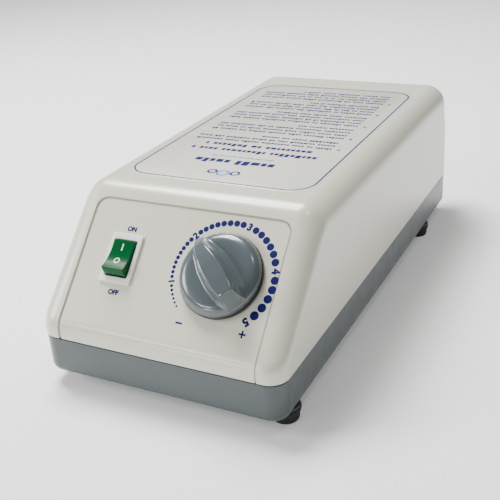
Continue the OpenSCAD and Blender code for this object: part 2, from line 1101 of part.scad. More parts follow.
module air_manifold() {
    color(NYLON)
        difference() {
            union() {
                translate([-4, -8, air_z - 6])
                    cube([30, 12, 12]);
                for (x = [6, knob_x])
                    translate([x, -8, air_z])
                        rotate([90, 0, 0])
                            barb(10);
                translate([-4, -2, air_z])
                    rotate([0, -90, 0])
                        barb(6);
                translate([26, -2, air_z])
                    rotate([0, 90, 0])
                        barb(6);
            }
            translate([-5, -2, air_z])
                rotate([0, 90, 0])
                    cylinder(r = 1.2, h = 32);
            for (x = [6, knob_x])
                translate([x, -2, air_z])
                    rotate([90, 0, 0])
                        cylinder(r = 1.2, h = 7);
        }
}

module air_tube(points, r = 7) {
    color(CLEAR)
        tube_path(points, r, tube_r, tube_bore_r);
}

module tube_pump() {
    air_tube([[-39, pump_y - 15, air_z], [-39, -2, air_z], [-4, -2, air_z]], 6);
    air_tube([[39, pump_y - 15, air_z], [39, -2, air_z], [26, -2, air_z]], 6);
}

module tube_feed() {
    air_tube([[6, -8, air_z], [6, valve_y, air_z], [valve_x + 16, valve_y, air_z]]);
}

module tube_regulator() {
    start_y = port_point[1] + port_l;
    color(CLEAR)
        translate([knob_x, start_y, air_z])
            rotate([-90, 0, 0])
                tube_piece(-8 - start_y, tube_r, tube_bore_r);
}

module outlet_tube(x) {
    air_tube([
        [x, valve_y + outlet_l, air_z], [x, -10, air_z], [x, -10, 62], [x, 96, 62],
        [x, 96, nozzle_z], [x, 112, nozzle_z]
    ]);
}

module tube_out_a() {
    outlet_tube(nozzle_xs[0]);
}

module tube_out_b() {
    outlet_tube(nozzle_xs[1]);
}

module air_nozzles() {
    color([0.2, 0.21, 0.23])
        for (x = nozzle_xs)
            translate([x, back_y, nozzle_z])
                rotate([-90, 0, 0])
                    difference() {
                        union() {
                            cylinder(r = 5.8, h = flange_t);
                            translate([0, 0, -wall - 4.5])
                                cylinder(r = 4.5, h = wall + 5);
                            translate([0, 0, flange_t - 0.5])
                                cylinder(r = spigot_r, h = spigot_l + 0.5);
                            translate([0, 0, flange_t + spigot_l])
                                cylinder(r1 = spigot_r, r2 = spigot_r - 0.7, h = 2);
                            translate([0, 0, -7])
                                mirror([0, 0, 1])
                                    barb(8);
                        }
                        translate([0, 0, -20])
                            cylinder(r = 1.2, h = 60);
                    }
}

module nozzle_nuts() {
    color(STEEL)
        for (x = nozzle_xs)
            translate([x, back_y - wall, nozzle_z])
                rotate([90, 0, 0])
                    difference() {
                        rotate([0, 0, 30])
                            cylinder(r = 6.3, h = 3.5, $fn = 6);
                        translate([0, 0, -cut])
                            cylinder(r = 4.5, h = 6);
                    }
}

module intake_filter() {
    color([0.85, 0.85, 0.86])
        translate([filter_x, filter_y, floor_z])
            difference() {
                cylinder(r = 13.4, h = 4.8);
                translate([0, 0, 2.4])
                    rotate_extrude()
                        translate([13.4, 0])
                            circle(r = 0.6);
            }
}

module filter_grille() {
    color(SLATE)
        translate([filter_x, filter_y, floor_z])
            difference() {
                union() {
                    translate([0, 0, -1.2])
                        cylinder(r = 17.5, h = 1.2);
                    difference() {
                        cylinder(r = 14.9, h = 6);
                        translate([0, 0, -cut])
                            cylinder(r = 13.5, h = 9);
                    }
                }
                for (k = [-3:3])
                    translate([3.4 * k - 0.9, -sqrt(121 - 11.5 * k * k), -2])
                        cube([1.8, 2 * sqrt(121 - 11.5 * k * k), 1.95]);
            }
}

// ---- mains supply ----

// socket recess of the inlet, with its two clipped upper corners
module socket_outline(grow = 0) {
    w = 12.2 + grow;
    h = 8.3 + grow;
    polygon([
        [-w, -h], [w, -h], [w, h - 4.5], [w - 4.5, h], [-w + 4.5, h], [-w, h - 4.5]
    ]);
}

socket_z = inlet_z + 6.5;

module power_inlet() {
    color(DARK)
        difference() {
            union() {
                translate([0, inlet_y, inlet_z])
                    rotate([-90, 0, 0])
                        linear_extrude(height = flange_t)
                            polygon(round_rect(inlet_w, inlet_h, 3));
                translate([-13.5, inlet_y - 20, inlet_z - 15])
                    cube([27, 20.5, 30]);
            }
            translate([0, inlet_y - 13.5, socket_z])
                rotate([-90, 0, 0])
                    mirror([0, 1, 0])
                        linear_extrude(height = 20)
                            socket_outline();
            translate([-11.1, inlet_y - 18.5, drawer_z - 4.1])
                cube([22.2, 40, 8.2]);
            for (x = [-7, 0, 7])
                translate([x - 1, inlet_y - 21, socket_z - 2 + (x == 0 ? 4 : -1)])
                    cube([2, 12, 4]);
        }
}

module inlet_pins() {
    color([0.8, 0.7, 0.45])
        for (x = [-7, 0, 7])
            translate([x - 1, inlet_y - 26, socket_z - 2 + (x == 0 ? 4 : -1)])
                cube([2, 26, 4]);
}

module fuse_drawer() {
    color([0.16, 0.16, 0.17])
        translate([0, inlet_y, drawer_z])
            difference() {
                union() {
                    translate([-11, -18, -4])
                        cube([22, 20.5, 8]);
                    translate([-12, flange_t, -4.6])
                        cube([24, 1.4, 9.2]);
                    translate([-5, flange_t + 1, 2.4])
                        cube([10, 1.6, 2]);
                }
                for (y = [-15, -7.4])
                    translate([-10.2, y - 2.9, -2.7])
                        cube([20.4, 5.8, 8]);
            }
}

module fuses() {
    color(CLEAR)
        for (y = [-15, -7.4])
            translate([-10, inlet_y + y, drawer_z])
                rotate([0, 90, 0]) {
                    cylinder(r = 2.6, h = 5);
                    translate([0, 0, 5])
                        cylinder(r = 2.4, h = 10);
                    translate([0, 0, 15])
                        cylinder(r = 2.6, h = 5);
                }
}

module terminal_block() {
    color([0.88, 0.88, 0.85])
        difference() {
            translate([26, -90, inside_z])
                cube([22, 18, 12]);
            for (x = [30, 34, 40, 44])
                translate([x, -81, 13])
                    cylinder(r = 1.4, h = 20);
        }
}

wire_r = 1;

module wire(points) {
    tube_path(points, 2.5, wire_r);
}

module mains_wires() {
    tab_y = inlet_y - 25;
    tab_z = socket_z + 1;
    run_x = side_x - 5.9;
    block_y = -72;
    // lowest corner of the switch's terminals
    tip = panel_point(-switch_x, control_t - 6.9, -22 - panel_recess);
    color([0.55, 0.2, 0.15])
        wire([
            [7, tab_y, tab_z], [7, tab_y, 55], [47, tab_y, 55], [47, tab_y, 14],
            [47, block_y, 14]
        ]);
    color([0.2, 0.3, 0.6]) {
        wire([
            [-7, tab_y, tab_z], [-7, tab_y, 59], [run_x, tab_y, 59], [run_x, tab_y, 18],
            [run_x, -57, 18], [40, -57, 18], [40, block_y, 18]
        ]);
        for (pole = [[-3.3, 14], [3.3, 18]])
            wire([
                [tip[0] + pole[0], tip[1] + 0.5, tip[2] - 0.2],
                [tip[0] + pole[0], tip[1] + 0.5, pole[1]], [26, tip[1] + 0.5, pole[1]]
            ]);
    }
    color([0.75, 0.75, 0.72]) {
        wire([
            [35, block_y, 13], [35, -65, 13], [4, -65, 13], [4, 0, 13], [4, 0, 24],
            [4, 16.5, 24]
        ]);
        wire([
            [30, block_y, 17], [30, -67.5, 17], [-1, -67.5, 17], [-1, valve_y, 17],
            [valve_x + 21, valve_y, 17]
        ]);
    }
}

// ---- bed hooks: swing out from the back and hang over the foot board ----

module bed_hook() {
    leg_z = part_z + 2.5;
    color(STEEL)
        union() {
            tube_path([
                [hook_x, hook_y, leg_z], [hook_x, hook_y, hook_top_z],
                [hook_x - hook_reach, hook_y, hook_top_z],
                [hook_x - hook_reach, hook_y, hook_top_z - 20]
            ], 6, hook_r);
            translate([hook_x, hook_y, leg_z])
                cylinder(r = 3, h = 2);
            translate([hook_x, hook_y, part_z + 32.6])
                cylinder(r = 3.2, h = 1.5);
        }
}

module bed_hook_left() {
    mirror([1, 0, 0])
        bed_hook();
}

module bed_hook_right() {
    bed_hook();
}

top_cover();
bottom_tray();
rubber_feet();
case_screws();
instruction_label();
rating_label();
switch_housing();
switch_rocker();
switch_terminals();
switch_lamp();
pressure_knob();
regulator_body();
regulator_spindle();
regulator_needle();
regulator_nut();
regulator_oring();
valve_motor();
motor_shaft();
valve_rotor();
valve_stator();
valve_spring();
valve_bracket();
valve_screws();
compressor_base();
isolator_mounts();
isolator_screws();
pump_frame();
coil_core();
coil_bobbin();
coil_winding();
arm_left();
arm_right();
magnet_left();
magnet_right();
arm_pins();
diaphragms();
pump_heads();
valve_flaps();
head_covers();
head_screws();
air_manifold();
tube_pump();
tube_feed();
tube_regulator();
tube_out_a();
tube_out_b();
air_nozzles();
nozzle_nuts();
intake_filter();
filter_grille();
power_inlet();
inlet_pins();
fuse_drawer();
fuses();
terminal_block();
mains_wires();
bed_hook_left();
bed_hook_right();
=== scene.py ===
"""Looks of the alternating-pressure air pump: moulded shells, printed label, dial, knob and switch.

Sizes below are millimetres in the frame of the CAD part and become metres in build_mesh().
"""

import json
import math
import random

import bpy
import bmesh
from mathutils import Matrix, Vector


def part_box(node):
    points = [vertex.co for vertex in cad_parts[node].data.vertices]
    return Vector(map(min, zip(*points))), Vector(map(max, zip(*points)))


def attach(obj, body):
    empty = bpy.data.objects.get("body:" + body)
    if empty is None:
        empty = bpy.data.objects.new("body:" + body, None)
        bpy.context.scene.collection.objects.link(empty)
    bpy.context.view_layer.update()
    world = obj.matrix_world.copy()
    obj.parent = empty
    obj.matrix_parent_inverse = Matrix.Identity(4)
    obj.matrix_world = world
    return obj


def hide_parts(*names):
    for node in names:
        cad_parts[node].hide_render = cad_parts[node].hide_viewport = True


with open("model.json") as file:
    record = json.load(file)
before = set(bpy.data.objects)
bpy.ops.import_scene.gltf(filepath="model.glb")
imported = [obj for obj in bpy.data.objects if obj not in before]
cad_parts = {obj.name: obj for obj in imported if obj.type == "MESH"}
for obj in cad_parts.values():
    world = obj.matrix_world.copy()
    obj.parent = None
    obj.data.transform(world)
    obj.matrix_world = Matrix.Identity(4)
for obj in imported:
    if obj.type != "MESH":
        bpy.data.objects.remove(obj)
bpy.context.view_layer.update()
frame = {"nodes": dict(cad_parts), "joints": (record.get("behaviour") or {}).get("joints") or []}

MM = 0.001
rng = random.Random(7)
joints = {joint["name"]: joint for joint in frame["joints"]}


def node_box(name):
    """Lowest and highest corner of a CAD node in millimetres."""
    low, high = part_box(name)
    return low / MM, high / MM


# ---------------------------------------------------------------- sizes read from the CAD part

COVER_LOW, COVER_HIGH = node_box("top_cover")
LABEL_LOW, LABEL_HIGH = node_box("instruction_label")
RATING_LOW, RATING_HIGH = node_box("rating_label")
FEET_LOW, FEET_HIGH = node_box("rubber_feet")
GRILLE_LOW, GRILLE_HIGH = node_box("filter_grille")
NOZZLE_LOW, NOZZLE_HIGH = node_box("air_nozzles")
INLET_LOW, INLET_HIGH = node_box("power_inlet")

HALF_W = COVER_HIGH.x
FRONT_Y = COVER_LOW.y
BACK_Y = -FRONT_Y
TOP_Z = COVER_HIGH.z
PART_Z = COVER_LOW.z
FLOOR_Z = RATING_HIGH.z

WALL = 2.5
CORNER_R = 8.0
TOP_R = 10.5
LEAN = 3.0
LEAN_Z = PART_Z + 24.5
DOME_Z = TOP_Z - TOP_R
EDGE_R = 3.5

KNOB_POS = Vector(joints["knob_turn"]["pos_m"]) / MM
ROCKER_POS = Vector(joints["rocker_tilt"]["pos_m"]) / MM
PANEL_N = Vector(joints["knob_turn"]["axis"]).normalized()
PANEL_X = Vector((1, 0, 0))
PANEL_U = PANEL_N.cross(PANEL_X)
CONTROL_T = 31.3
RECESS = 0.5
PANEL_HALF = 45.6
PANEL_RUN = 57.6
PANEL_CORNER = 5.5
GROOVE_W = 0.9
GROOVE_DEPTH = 1.15
SLOPE_S = PANEL_U.z
SLOPE_C = PANEL_U.y
SLOPE_FOOT = ROCKER_POS - CONTROL_T * PANEL_U
KNOB_TURN = 46.0
ROCKER_TILT = -12.5
ROCKER_R = 7.6
ROCKER_HALF = 6.71

DOME_FRONT_Y = SLOPE_FOOT.y + (TOP_R + SLOPE_C * (DOME_Z - SLOPE_FOOT.z)) / SLOPE_S
DOME_BACK_Y = BACK_Y - LEAN - TOP_R
BEND_R = 9.0
BEND_FOOT_Z = SLOPE_FOOT.z + (FRONT_Y - SLOPE_FOOT.y) * SLOPE_S / SLOPE_C
BEND_LOW_Z = BEND_FOOT_Z - BEND_R * math.tan(math.radians(22.2))
BEND_HIGH_Z = BEND_LOW_Z + BEND_R * SLOPE_C

FOOT_XS = (FEET_LOW.x + 5.5, FEET_HIGH.x - 5.5)
FOOT_YS = (FEET_LOW.y + 5.5, FEET_HIGH.y - 5.5)
POST_XS = (-HALF_W + 14, HALF_W - 14)
POST_YS = (FRONT_Y + 19, BACK_Y - 11)
ISOLATOR_SPOTS = [(-40, 12), (-40, 80), (40, 12), (40, 80)]
VALVE_SCREW_SPOTS = [(-28, -71.5), (-28, -18.5)]
SCREW_R = 1.5
VENT_YS = [28.25 + 7 * k for k in range(7)]
HOOK_X = joints["hook_swing_right"]["pos_m"][0] / MM
HOOK_Y = joints["hook_swing_right"]["pos_m"][1] / MM
LUG_ZS = (PART_Z + 6.5, PART_Z + 26.5)
NOZZLE_Z = (NOZZLE_LOW.z + NOZZLE_HIGH.z) / 2
NOZZLE_XS = (NOZZLE_LOW.x + 5.8, NOZZLE_HIGH.x - 5.8)
NOZZLE_BORE_R = 4.55
KNOB_BORE_R = 4.55
HOOK_BORE_R = 2.05
INLET_Z = (INLET_LOW.z + INLET_HIGH.z) / 2
INLET_HALF_W = 13.7
INLET_HALF_H = 15.2
BOSS_R = 3.5
BOSS_TOPS = (45.5, 50)
FILTER_X = (GRILLE_LOW.x + GRILLE_HIGH.x) / 2
FILTER_Y = (GRILLE_LOW.y + GRILLE_HIGH.y) / 2


# ---------------------------------------------------------------- small geometry helpers

def mix(a, b, t):
    return a + (b - a) * t


def smooth_step(t):
    t = max(0.0, min(1.0, t))
    return t * t * (3 - 2 * t)


def lerp_table(table, x):
    """Value at x from sorted (x, value) pairs, in straight lines between them."""
    if x <= table[0][0]:
        return table[0][1]
    for (x0, v0), (x1, v1) in zip(table, table[1:]):
        if x <= x1:
            return mix(v0, v1, (x - x0) / (x1 - x0))
    return table[-1][1]


def round_rect(x0, x1, y0, y1, radius, steps=8):
    """Closed outline, anticlockwise, of a rectangle with rounded corners."""
    points = []
    centres = (
        (x1 - radius, y0 + radius, -90), (x1 - radius, y1 - radius, 0),
        (x0 + radius, y1 - radius, 90), (x0 + radius, y0 + radius, 180),
    )
    for cx, cy, start in centres:
        for k in range(steps + 1):
            a = math.radians(start + 90 * k / steps)
            points.append((cx + radius * math.cos(a), cy + radius * math.sin(a)))
    return points


def circle(cx, cy, radius, steps=32):
    return [
        (cx + radius * math.cos(2 * math.pi * k / steps), cy + radius * math.sin(2 * math.pi * k / steps))
        for k in range(steps)
    ]


def arc(radius, start, stop, step):
    """Points of an arc about the origin; angles in whole degrees, stop left out."""
    angles = [math.radians(a) for a in range(start, stop, step)]
    return [(radius * math.cos(a), radius * math.sin(a)) for a in angles]


def build_mesh(name, points, faces, smooth_angle=32):
    """A new object from points in millimetres, with consistent normals and smooth shading by angle."""
    mesh = bpy.data.meshes.new(name)
    mesh.from_pydata([Vector(p) * MM for p in points], [], faces)
    clean_mesh(mesh)
    mesh.shade_smooth()
    mesh.set_sharp_from_angle(angle=math.radians(smooth_angle))
    obj = bpy.data.objects.new(name, mesh)
    bpy.context.scene.collection.objects.link(obj)
    return obj


def clean_mesh(mesh):
    work = bmesh.new()
    work.from_mesh(mesh)
    bmesh.ops.remove_doubles(work, verts=work.verts, dist=1e-7)
    bmesh.ops.recalc_face_normals(work, faces=work.faces)
    work.to_mesh(mesh)
    work.free()


def loft(rings, close=False, cap_start=True):
    """Points and faces of a skin over rings of equal length; open lofts are capped at their ends."""
    count = len(rings[0])
    points = [p for ring in rings for p in ring]
    faces = []
    spans = len(rings) if close else len(rings) - 1
    for r in range(spans):
        a = r * count
        b = ((r + 1) % len(rings)) * count
        for k in range(count):
            n = (k + 1) % count
            faces.append((a + k, a + n, b + n, b + k))
    if not close and cap_start:
        faces.append(tuple(range(count))[::-1])
    if not close:
        last = (len(rings) - 1) * count
        faces.append(tuple(last + k for k in range(count)))
    return points, faces


def merge(parts):
    """One list of points and faces from several."""
    points, faces = [], []
    for some_points, some_faces in parts:
        base = len(points)
        points.extend(some_points)
        faces.extend(tuple(base + k for k in face) for face in some_faces)
    return points, faces


def prism(outline, place, low, high):
    """A closed plate: the 2-D outline set between two heights by place(x, y, h)."""
    rings = [[place(x, y, h) for x, y in outline] for h in (low, high)]
    return loft(rings)


def ring_prism(outer, inner, place, low, high):
    """A closed plate between two outlines with equal numbers of points."""
    rings = [
        [place(x, y, low) for x, y in outer], [place(x, y, high) for x, y in outer],
        [place(x, y, high) for x, y in inner], [place(x, y, low) for x, y in inner],
    ]
    return loft(rings, close=True)


def lathe(profile, place, steps=48):
    """A solid of revolution from (radius, height) pairs; place(x, y, h) sets its axis."""
    rings = [[place(x, y, h) for x, y in circle(0, 0, max(r, 0.01), steps)] for r, h in profile]
    return loft(rings)


def along_z(x, y):
    return lambda a, b, h: Vector((x + a, y + b, h))


def along_y(x, z):
    return lambda a, b, h: Vector((x + a, h, z - b))


def on_panel(origin, turn=0.0):
    """Places local (x, up the slope, out) around a point of the panel, turned anticlockwise."""
    c = math.cos(math.radians(turn))
    s = math.sin(math.radians(turn))
    ex = c * PANEL_X + s * PANEL_U
    ey = c * PANEL_U - s * PANEL_X
    return lambda x, y, h: origin + x * ex + y * ey + h * PANEL_N


def on_top(x, y, h):
    return Vector((x, y, h))


def cube_part(low, high):
    outline = [(low[0], low[1]), (high[0], low[1]), (high[0], high[1]), (low[0], high[1])]
    return prism(outline, on_top, low[2], high[2])


def apply_modifiers(obj):
    """Bakes the modifier stack into the mesh."""
    bpy.context.view_layer.update()
    graph = bpy.context.evaluated_depsgraph_get()
    mesh = bpy.data.meshes.new_from_object(obj.evaluated_get(graph))
    obj.modifiers.clear()
    old = obj.data
    obj.data = mesh
    bpy.data.meshes.remove(old)


def combine(obj, operation, parts):
    """Cuts or adds several closed solids, one after another, in exact mode."""
    for number, part in enumerate(parts):
        tool = build_mesh(f"tool_{number}", *part)
        modifier = obj.modifiers.new(f"{operation}_{number}", "BOOLEAN")
        modifier.operation = operation
        modifier.solver = "EXACT"
        modifier.object = tool
        apply_modifiers(obj)
        bpy.data.objects.remove(tool)


def finish_edges(obj, width=0.15, segments=2, angle=34):
    """A small rounding on every crisp edge, then shading that keeps flat faces flat."""
    if width:
        bevel = obj.modifiers.new("edge", "BEVEL")
        bevel.width = width * MM
        bevel.segments = segments
        bevel.limit_method = "ANGLE"
        bevel.angle_limit = math.radians(angle)
        bevel.harden_normals = False
        apply_modifiers(obj)
    obj.data.shade_smooth()
    obj.data.set_sharp_from_angle(angle=math.radians(angle))
    weighted = obj.modifiers.new("weighted", "WEIGHTED_NORMAL")
    weighted.keep_sharp = True
    weighted.weight = 50
    apply_modifiers(obj)


# ---------------------------------------------------------------- materials

def linear(rgb):
    """Linear colour from 0-255 display values."""
    out = []
    for value in rgb:
        v = value / 255
        out.append(v / 12.92 if v <= 0.04045 else ((v + 0.055) / 1.055) ** 2.4)
    return (*out, 1.0)


def noise_node(tree, scale, detail, vector):
    node = tree.nodes.new("ShaderNodeTexNoise")
    node.inputs["Scale"].default_value = scale
    node.inputs["Detail"].default_value = detail
    tree.links.new(vector, node.inputs["Vector"])
    return node


def material(name, colour, rough=0.4, metal=0.0, coat=0.0, bump=0.03, grain=2600, mottle=0.05,
             subsurface=0.0, transmission=0.0, brushed=False, ior=1.5, glow=0.0, coat_rough=0.1, wear=0.05):
    """A procedural finish: slow colour drift, changing roughness and a fine moulded or rolled grain.

    bump and grain set the depth and scale of the grain, mottle the colour drift, wear the spread of roughness.
    """
    mat = bpy.data.materials.new(name)
    mat.use_nodes = True
    tree = mat.node_tree
    shader = tree.nodes["Principled BSDF"]
    link = tree.links.new

    coords = tree.nodes.new("ShaderNodeTexCoord")
    spread = tree.nodes.new("ShaderNodeMapping")
    spread.inputs["Scale"].default_value = (1, 1, 0.08) if brushed else (1, 1, 1)
    link(coords.outputs["Object"], spread.inputs["Vector"])

    drift = noise_node(tree, 28, 4, coords.outputs["Object"])
    ramp = tree.nodes.new("ShaderNodeValToRGB")
    base = linear(colour)
    ramp.color_ramp.elements[0].position = 0.3
    ramp.color_ramp.elements[1].position = 0.7
    ramp.color_ramp.elements[0].color = (*[c * (1 - mottle) for c in base[:3]], 1)
    ramp.color_ramp.elements[1].color = (*[min(1, c * (1 + mottle)) for c in base[:3]], 1)
    link(drift.outputs["Fac"], ramp.inputs["Fac"])
    link(ramp.outputs["Color"], shader.inputs["Base Color"])

    patches = noise_node(tree, 140, 5, coords.outputs["Object"])
    rough_range = tree.nodes.new("ShaderNodeMapRange")
    rough_range.inputs["From Min"].default_value = 0.3
    rough_range.inputs["From Max"].default_value = 0.7
    rough_range.inputs["To Min"].default_value = max(0.02, rough - wear)
    rough_range.inputs["To Max"].default_value = min(1.0, rough + wear)
    link(patches.outputs["Fac"], rough_range.inputs["Value"])
    link(rough_range.outputs["Result"], shader.inputs["Roughness"])

    fine = noise_node(tree, grain, 3, spread.outputs["Vector"])
    bumps = tree.nodes.new("ShaderNodeBump")
    bumps.inputs["Strength"].default_value = bump
    bumps.inputs["Distance"].default_value = 0.0002
    link(fine.outputs["Fac"], bumps.inputs["Height"])
    link(bumps.outputs["Normal"], shader.inputs["Normal"])

    shader.inputs["Metallic"].default_value = metal
    shader.inputs["IOR"].default_value = ior
    shader.inputs["Coat Weight"].default_value = coat
    shader.inputs["Coat Roughness"].default_value = coat_rough
    shader.inputs["Subsurface Weight"].default_value = subsurface
    shader.inputs["Subsurface Scale"].default_value = 0.001
    shader.inputs["Transmission Weight"].default_value = transmission
    shader.inputs["Emission Color"].default_value = linear(colour)
    shader.inputs["Emission Strength"].default_value = glow
    return mat


MATERIALS = {
    "cover_plastic": material("cover_plastic", (212, 211, 193), 0.3, coat=0.6, bump=0.008, mottle=0.006,
                              coat_rough=0.2, wear=0.008),
    "tray_plastic": material("tray_plastic", (58, 68, 71), 0.4, coat=0.3, bump=0.09, mottle=0.03),
    "knob_plastic": material("knob_plastic", (74, 84, 87), 0.24, coat=0.5, bump=0.004, mottle=0.02,
                             coat_rough=0.05, wear=0.01),
    "foot_rubber": material("foot_rubber", (26, 26, 27), 0.75, bump=0.2, mottle=0.12),
    "soft_rubber": material("soft_rubber", (34, 33, 32), 0.7, bump=0.2, mottle=0.12),
    "label_film": material("label_film", (214, 213, 203), 0.3, coat=0.4, bump=0.015, mottle=0.008),
    "switch_shell": material("switch_shell", (238, 238, 230), 0.32, coat=0.4, bump=0.03, mottle=0.01),
    "switch_green": material("switch_green", (0, 76, 36), 0.22, coat=0.0, bump=0.01, mottle=0.06, ior=1.22),
    "lamp_glass": material("lamp_glass", (236, 196, 150), 0.08, bump=0.01, transmission=0.6),
    "zinc_steel": material("zinc_steel", (178, 180, 182), 0.32, metal=1, bump=0.08, mottle=0.06),
    "hook_steel": material("hook_steel", (196, 197, 199), 0.2, metal=1, bump=0.04, mottle=0.05,
                           brushed=True),
    "core_steel": material("core_steel", (112, 114, 118), 0.45, metal=1, bump=0.12, mottle=0.1),
    "copper": material("copper", (196, 112, 70), 0.3, metal=1, bump=0.35, grain=1500, mottle=0.12),
    "brass": material("brass", (204, 170, 96), 0.25, metal=1, bump=0.05, mottle=0.05),
    "nylon_white": material("nylon_white", (218, 217, 206), 0.5, bump=0.06, subsurface=0.1),
    "black_plastic": material("black_plastic", (30, 31, 33), 0.42, bump=0.1, mottle=0.08),
    "tube_silicone": material("tube_silicone", (214, 218, 214), 0.25, bump=0.05, subsurface=0.3),
    "wire_pvc": material("wire_pvc", (96, 58, 38), 0.45, bump=0.05, mottle=0.06),
    "filter_felt": material("filter_felt", (196, 198, 196), 0.95, bump=0.9, grain=1100, mottle=0.12),
    "flap_rubber": material("flap_rubber", (52, 46, 44), 0.65, bump=0.1, mottle=0.08),
}
NAVY = material("print_navy", (6, 10, 84), 0.6, bump=0.02, mottle=0.06, ior=1.25)
LIGHT_BLUE = material("print_light_blue", (20, 128, 196), 0.4, coat=0.2, bump=0.02, mottle=0.06)
MARK_WHITE = material("print_white", (226, 240, 228), 0.4, coat=0.2, bump=0.02, mottle=0.02)
RATING_GREY = material("print_rating", (70, 74, 78), 0.5, bump=0.02, mottle=0.05)


def dress(obj, slot, body="casing", stands_for=(), paint=None):
    """Gives a new piece its finish, the slot's material unless paint is given, and the CAD body that it moves
    with.
    """
    obj.data.materials.clear()
    obj.data.materials.append(paint or MATERIALS[slot])
    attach(obj, body)
    if stands_for:
        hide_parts(*stands_for)
    return obj


# ---------------------------------------------------------------- shells

def front_line(z, d):
    """Front of the cover at a height: upright strip, soft bend, slope; d is measured inwards."""
    if z < BEND_LOW_Z:
        return FRONT_Y + d
    radius = BEND_R - d
    if z - BEND_LOW_Z < radius * SLOPE_C:
        return FRONT_Y + BEND_R - math.sqrt(radius ** 2 - (z - BEND_LOW_Z) ** 2)
    return SLOPE_FOOT.y + d / SLOPE_S + (z - SLOPE_FOOT.z) * SLOPE_C / SLOPE_S


def section(z, d, tuck=0.0, steps=12):
    """One level outline of the cover's skin, d inside the outer face."""
    top_r = TOP_R - d
    if z > DOME_Z:
        reach = math.sqrt(max(top_r ** 2 - (z - DOME_Z) ** 2, 0.0))
        corner = reach
        back = DOME_BACK_Y + reach
    else:
        reach = top_r
        corner = mix(CORNER_R, TOP_R, (z - PART_Z) / (DOME_Z - PART_Z)) - d
        back = BACK_Y - d - LEAN * smooth_step((z - LEAN_Z) / (DOME_Z - LEAN_Z))
    if z > DOME_Z + top_r * SLOPE_C:
        front = DOME_FRONT_Y - reach
    else:
        front = front_line(z, d)
    half = HALF_W - TOP_R + reach - tuck
    outline = round_rect(-half, half, front + tuck, back - tuck, max(corner - tuck, 0.02), steps)
    return [Vector((x, y, z)) for x, y in outline]


def dome_levels(d):
    """Heights of the level outlines around the rounded top edge, ending at the flat."""
    radius = TOP_R - d
    return [DOME_Z + radius * math.sin(math.radians(a)) for a in range(0, 91, 6)][1:]


def cover_part():
    bend = [mix(BEND_LOW_Z, BEND_HIGH_Z, k / 8) for k in range(9)]
    walls = [24.6, 25.6] + bend + [36, 40, 44, 48, 51, 54, 57, 60, 63, DOME_Z]
    outer = [section(PART_Z + h, 0, tuck) for h, tuck in ((0, 0.45), (0.12, 0.2), (0.35, 0.05), (0.6, 0))]
    outer += [section(z, 0) for z in walls + dome_levels(0)]
    inner = [section(z, WALL) for z in [PART_Z] + walls + dome_levels(WALL)]
    inner.reverse()
    return loft(inner + outer)


def profile_point(z, depth):
    """Front profile point at a height, and depth mm below the surface there."""
    step = 0.05
    here = Vector((0, front_line(z, 0), z))
    ahead = Vector((0, front_line(z + step, 0), z + step)) - here
    normal = Vector((0, -ahead.z, ahead.y)).normalized()
    return here - depth * normal


def panel_rows(half, top_z, corner):
    """(height, half width) rows down the front, with rounded upper corners."""
    rows = []
    for k in range(9):
        a = math.radians(90 * k / 8)
        rows.append((top_z - corner * SLOPE_S * (1 - math.cos(a)), half - corner + corner * math.sin(a)))
    low = [66, 60, 54, 48, 42, 37, BEND_HIGH_Z]
    low += [mix(BEND_HIGH_Z, BEND_LOW_Z, k / 8) for k in range(1, 9)] + [25, PART_Z - 1.5]
    rows += [(z, half) for z in low if z < rows[-1][0] - 0.3]
    return rows


def row_point(x, z, depth):
    point = profile_point(z, depth)
    return Vector((x, point.y, point.z))


def recess_part(half, top_z, corner, depth):
    rings = []
    for z, w in panel_rows(half, top_z, corner):
        corners = ((-w, depth), (w, depth), (w, -4), (-w, -4))
        rings.append([row_point(x, z, h) for x, h in corners])
    return loft(rings)


def groove_part(half, top_z, corner, width, depth):
    """The thin shadow line just inside the recessed field's edge."""
    outer_rows = panel_rows(half, top_z, corner)
    inner_rows = panel_rows(half - width, top_z - width * SLOPE_S, corner - width)
    outer = [(-w, z) for z, w in reversed(outer_rows)] + [(w, z) for z, w in outer_rows]
    inner = [(-w, z) for z, w in reversed(inner_rows)] + [(w, z) for z, w in inner_rows]
    rings = []
    for (xo, zo), (xi, zi) in zip(outer, inner):
        xm, zm = mix(xo, xi, 0.25), mix(zo, zi, 0.25)
        xn, zn = mix(xo, xi, 0.75), mix(zo, zi, 0.75)
        rings.append([
            row_point(xo, zo, -3), row_point(xo, zo, RECESS), row_point(xm, zm, depth),
            row_point(xn, zn, depth), row_point(xi, zi, RECESS), row_point(xi, zi, -3),
        ])
    return loft(rings)


def lug_part(side, z):
    """A bored ear on the back wall that carries one hook's upright leg."""
    outline = arc(4.5, 0, 181, 12)
    outline += [(-4.3, -2.5), (-5.4, -5.4), (-5.4, -7.3), (5.4, -7.3), (5.4, -5.4), (4.3, -2.5)]
    place = along_z(side * HOOK_X, HOOK_Y)
    rings = []
    for h, shrink in ((0, 0.91), (0.4, 1.0), (5.6, 1.0), (6, 0.91)):
        rings.append([place(x * shrink, y * (shrink if y > 0 else 1), z + h) for x, y in outline])
    return loft(rings)


def on_back(x, z, h):
    return Vector((x, h, z))


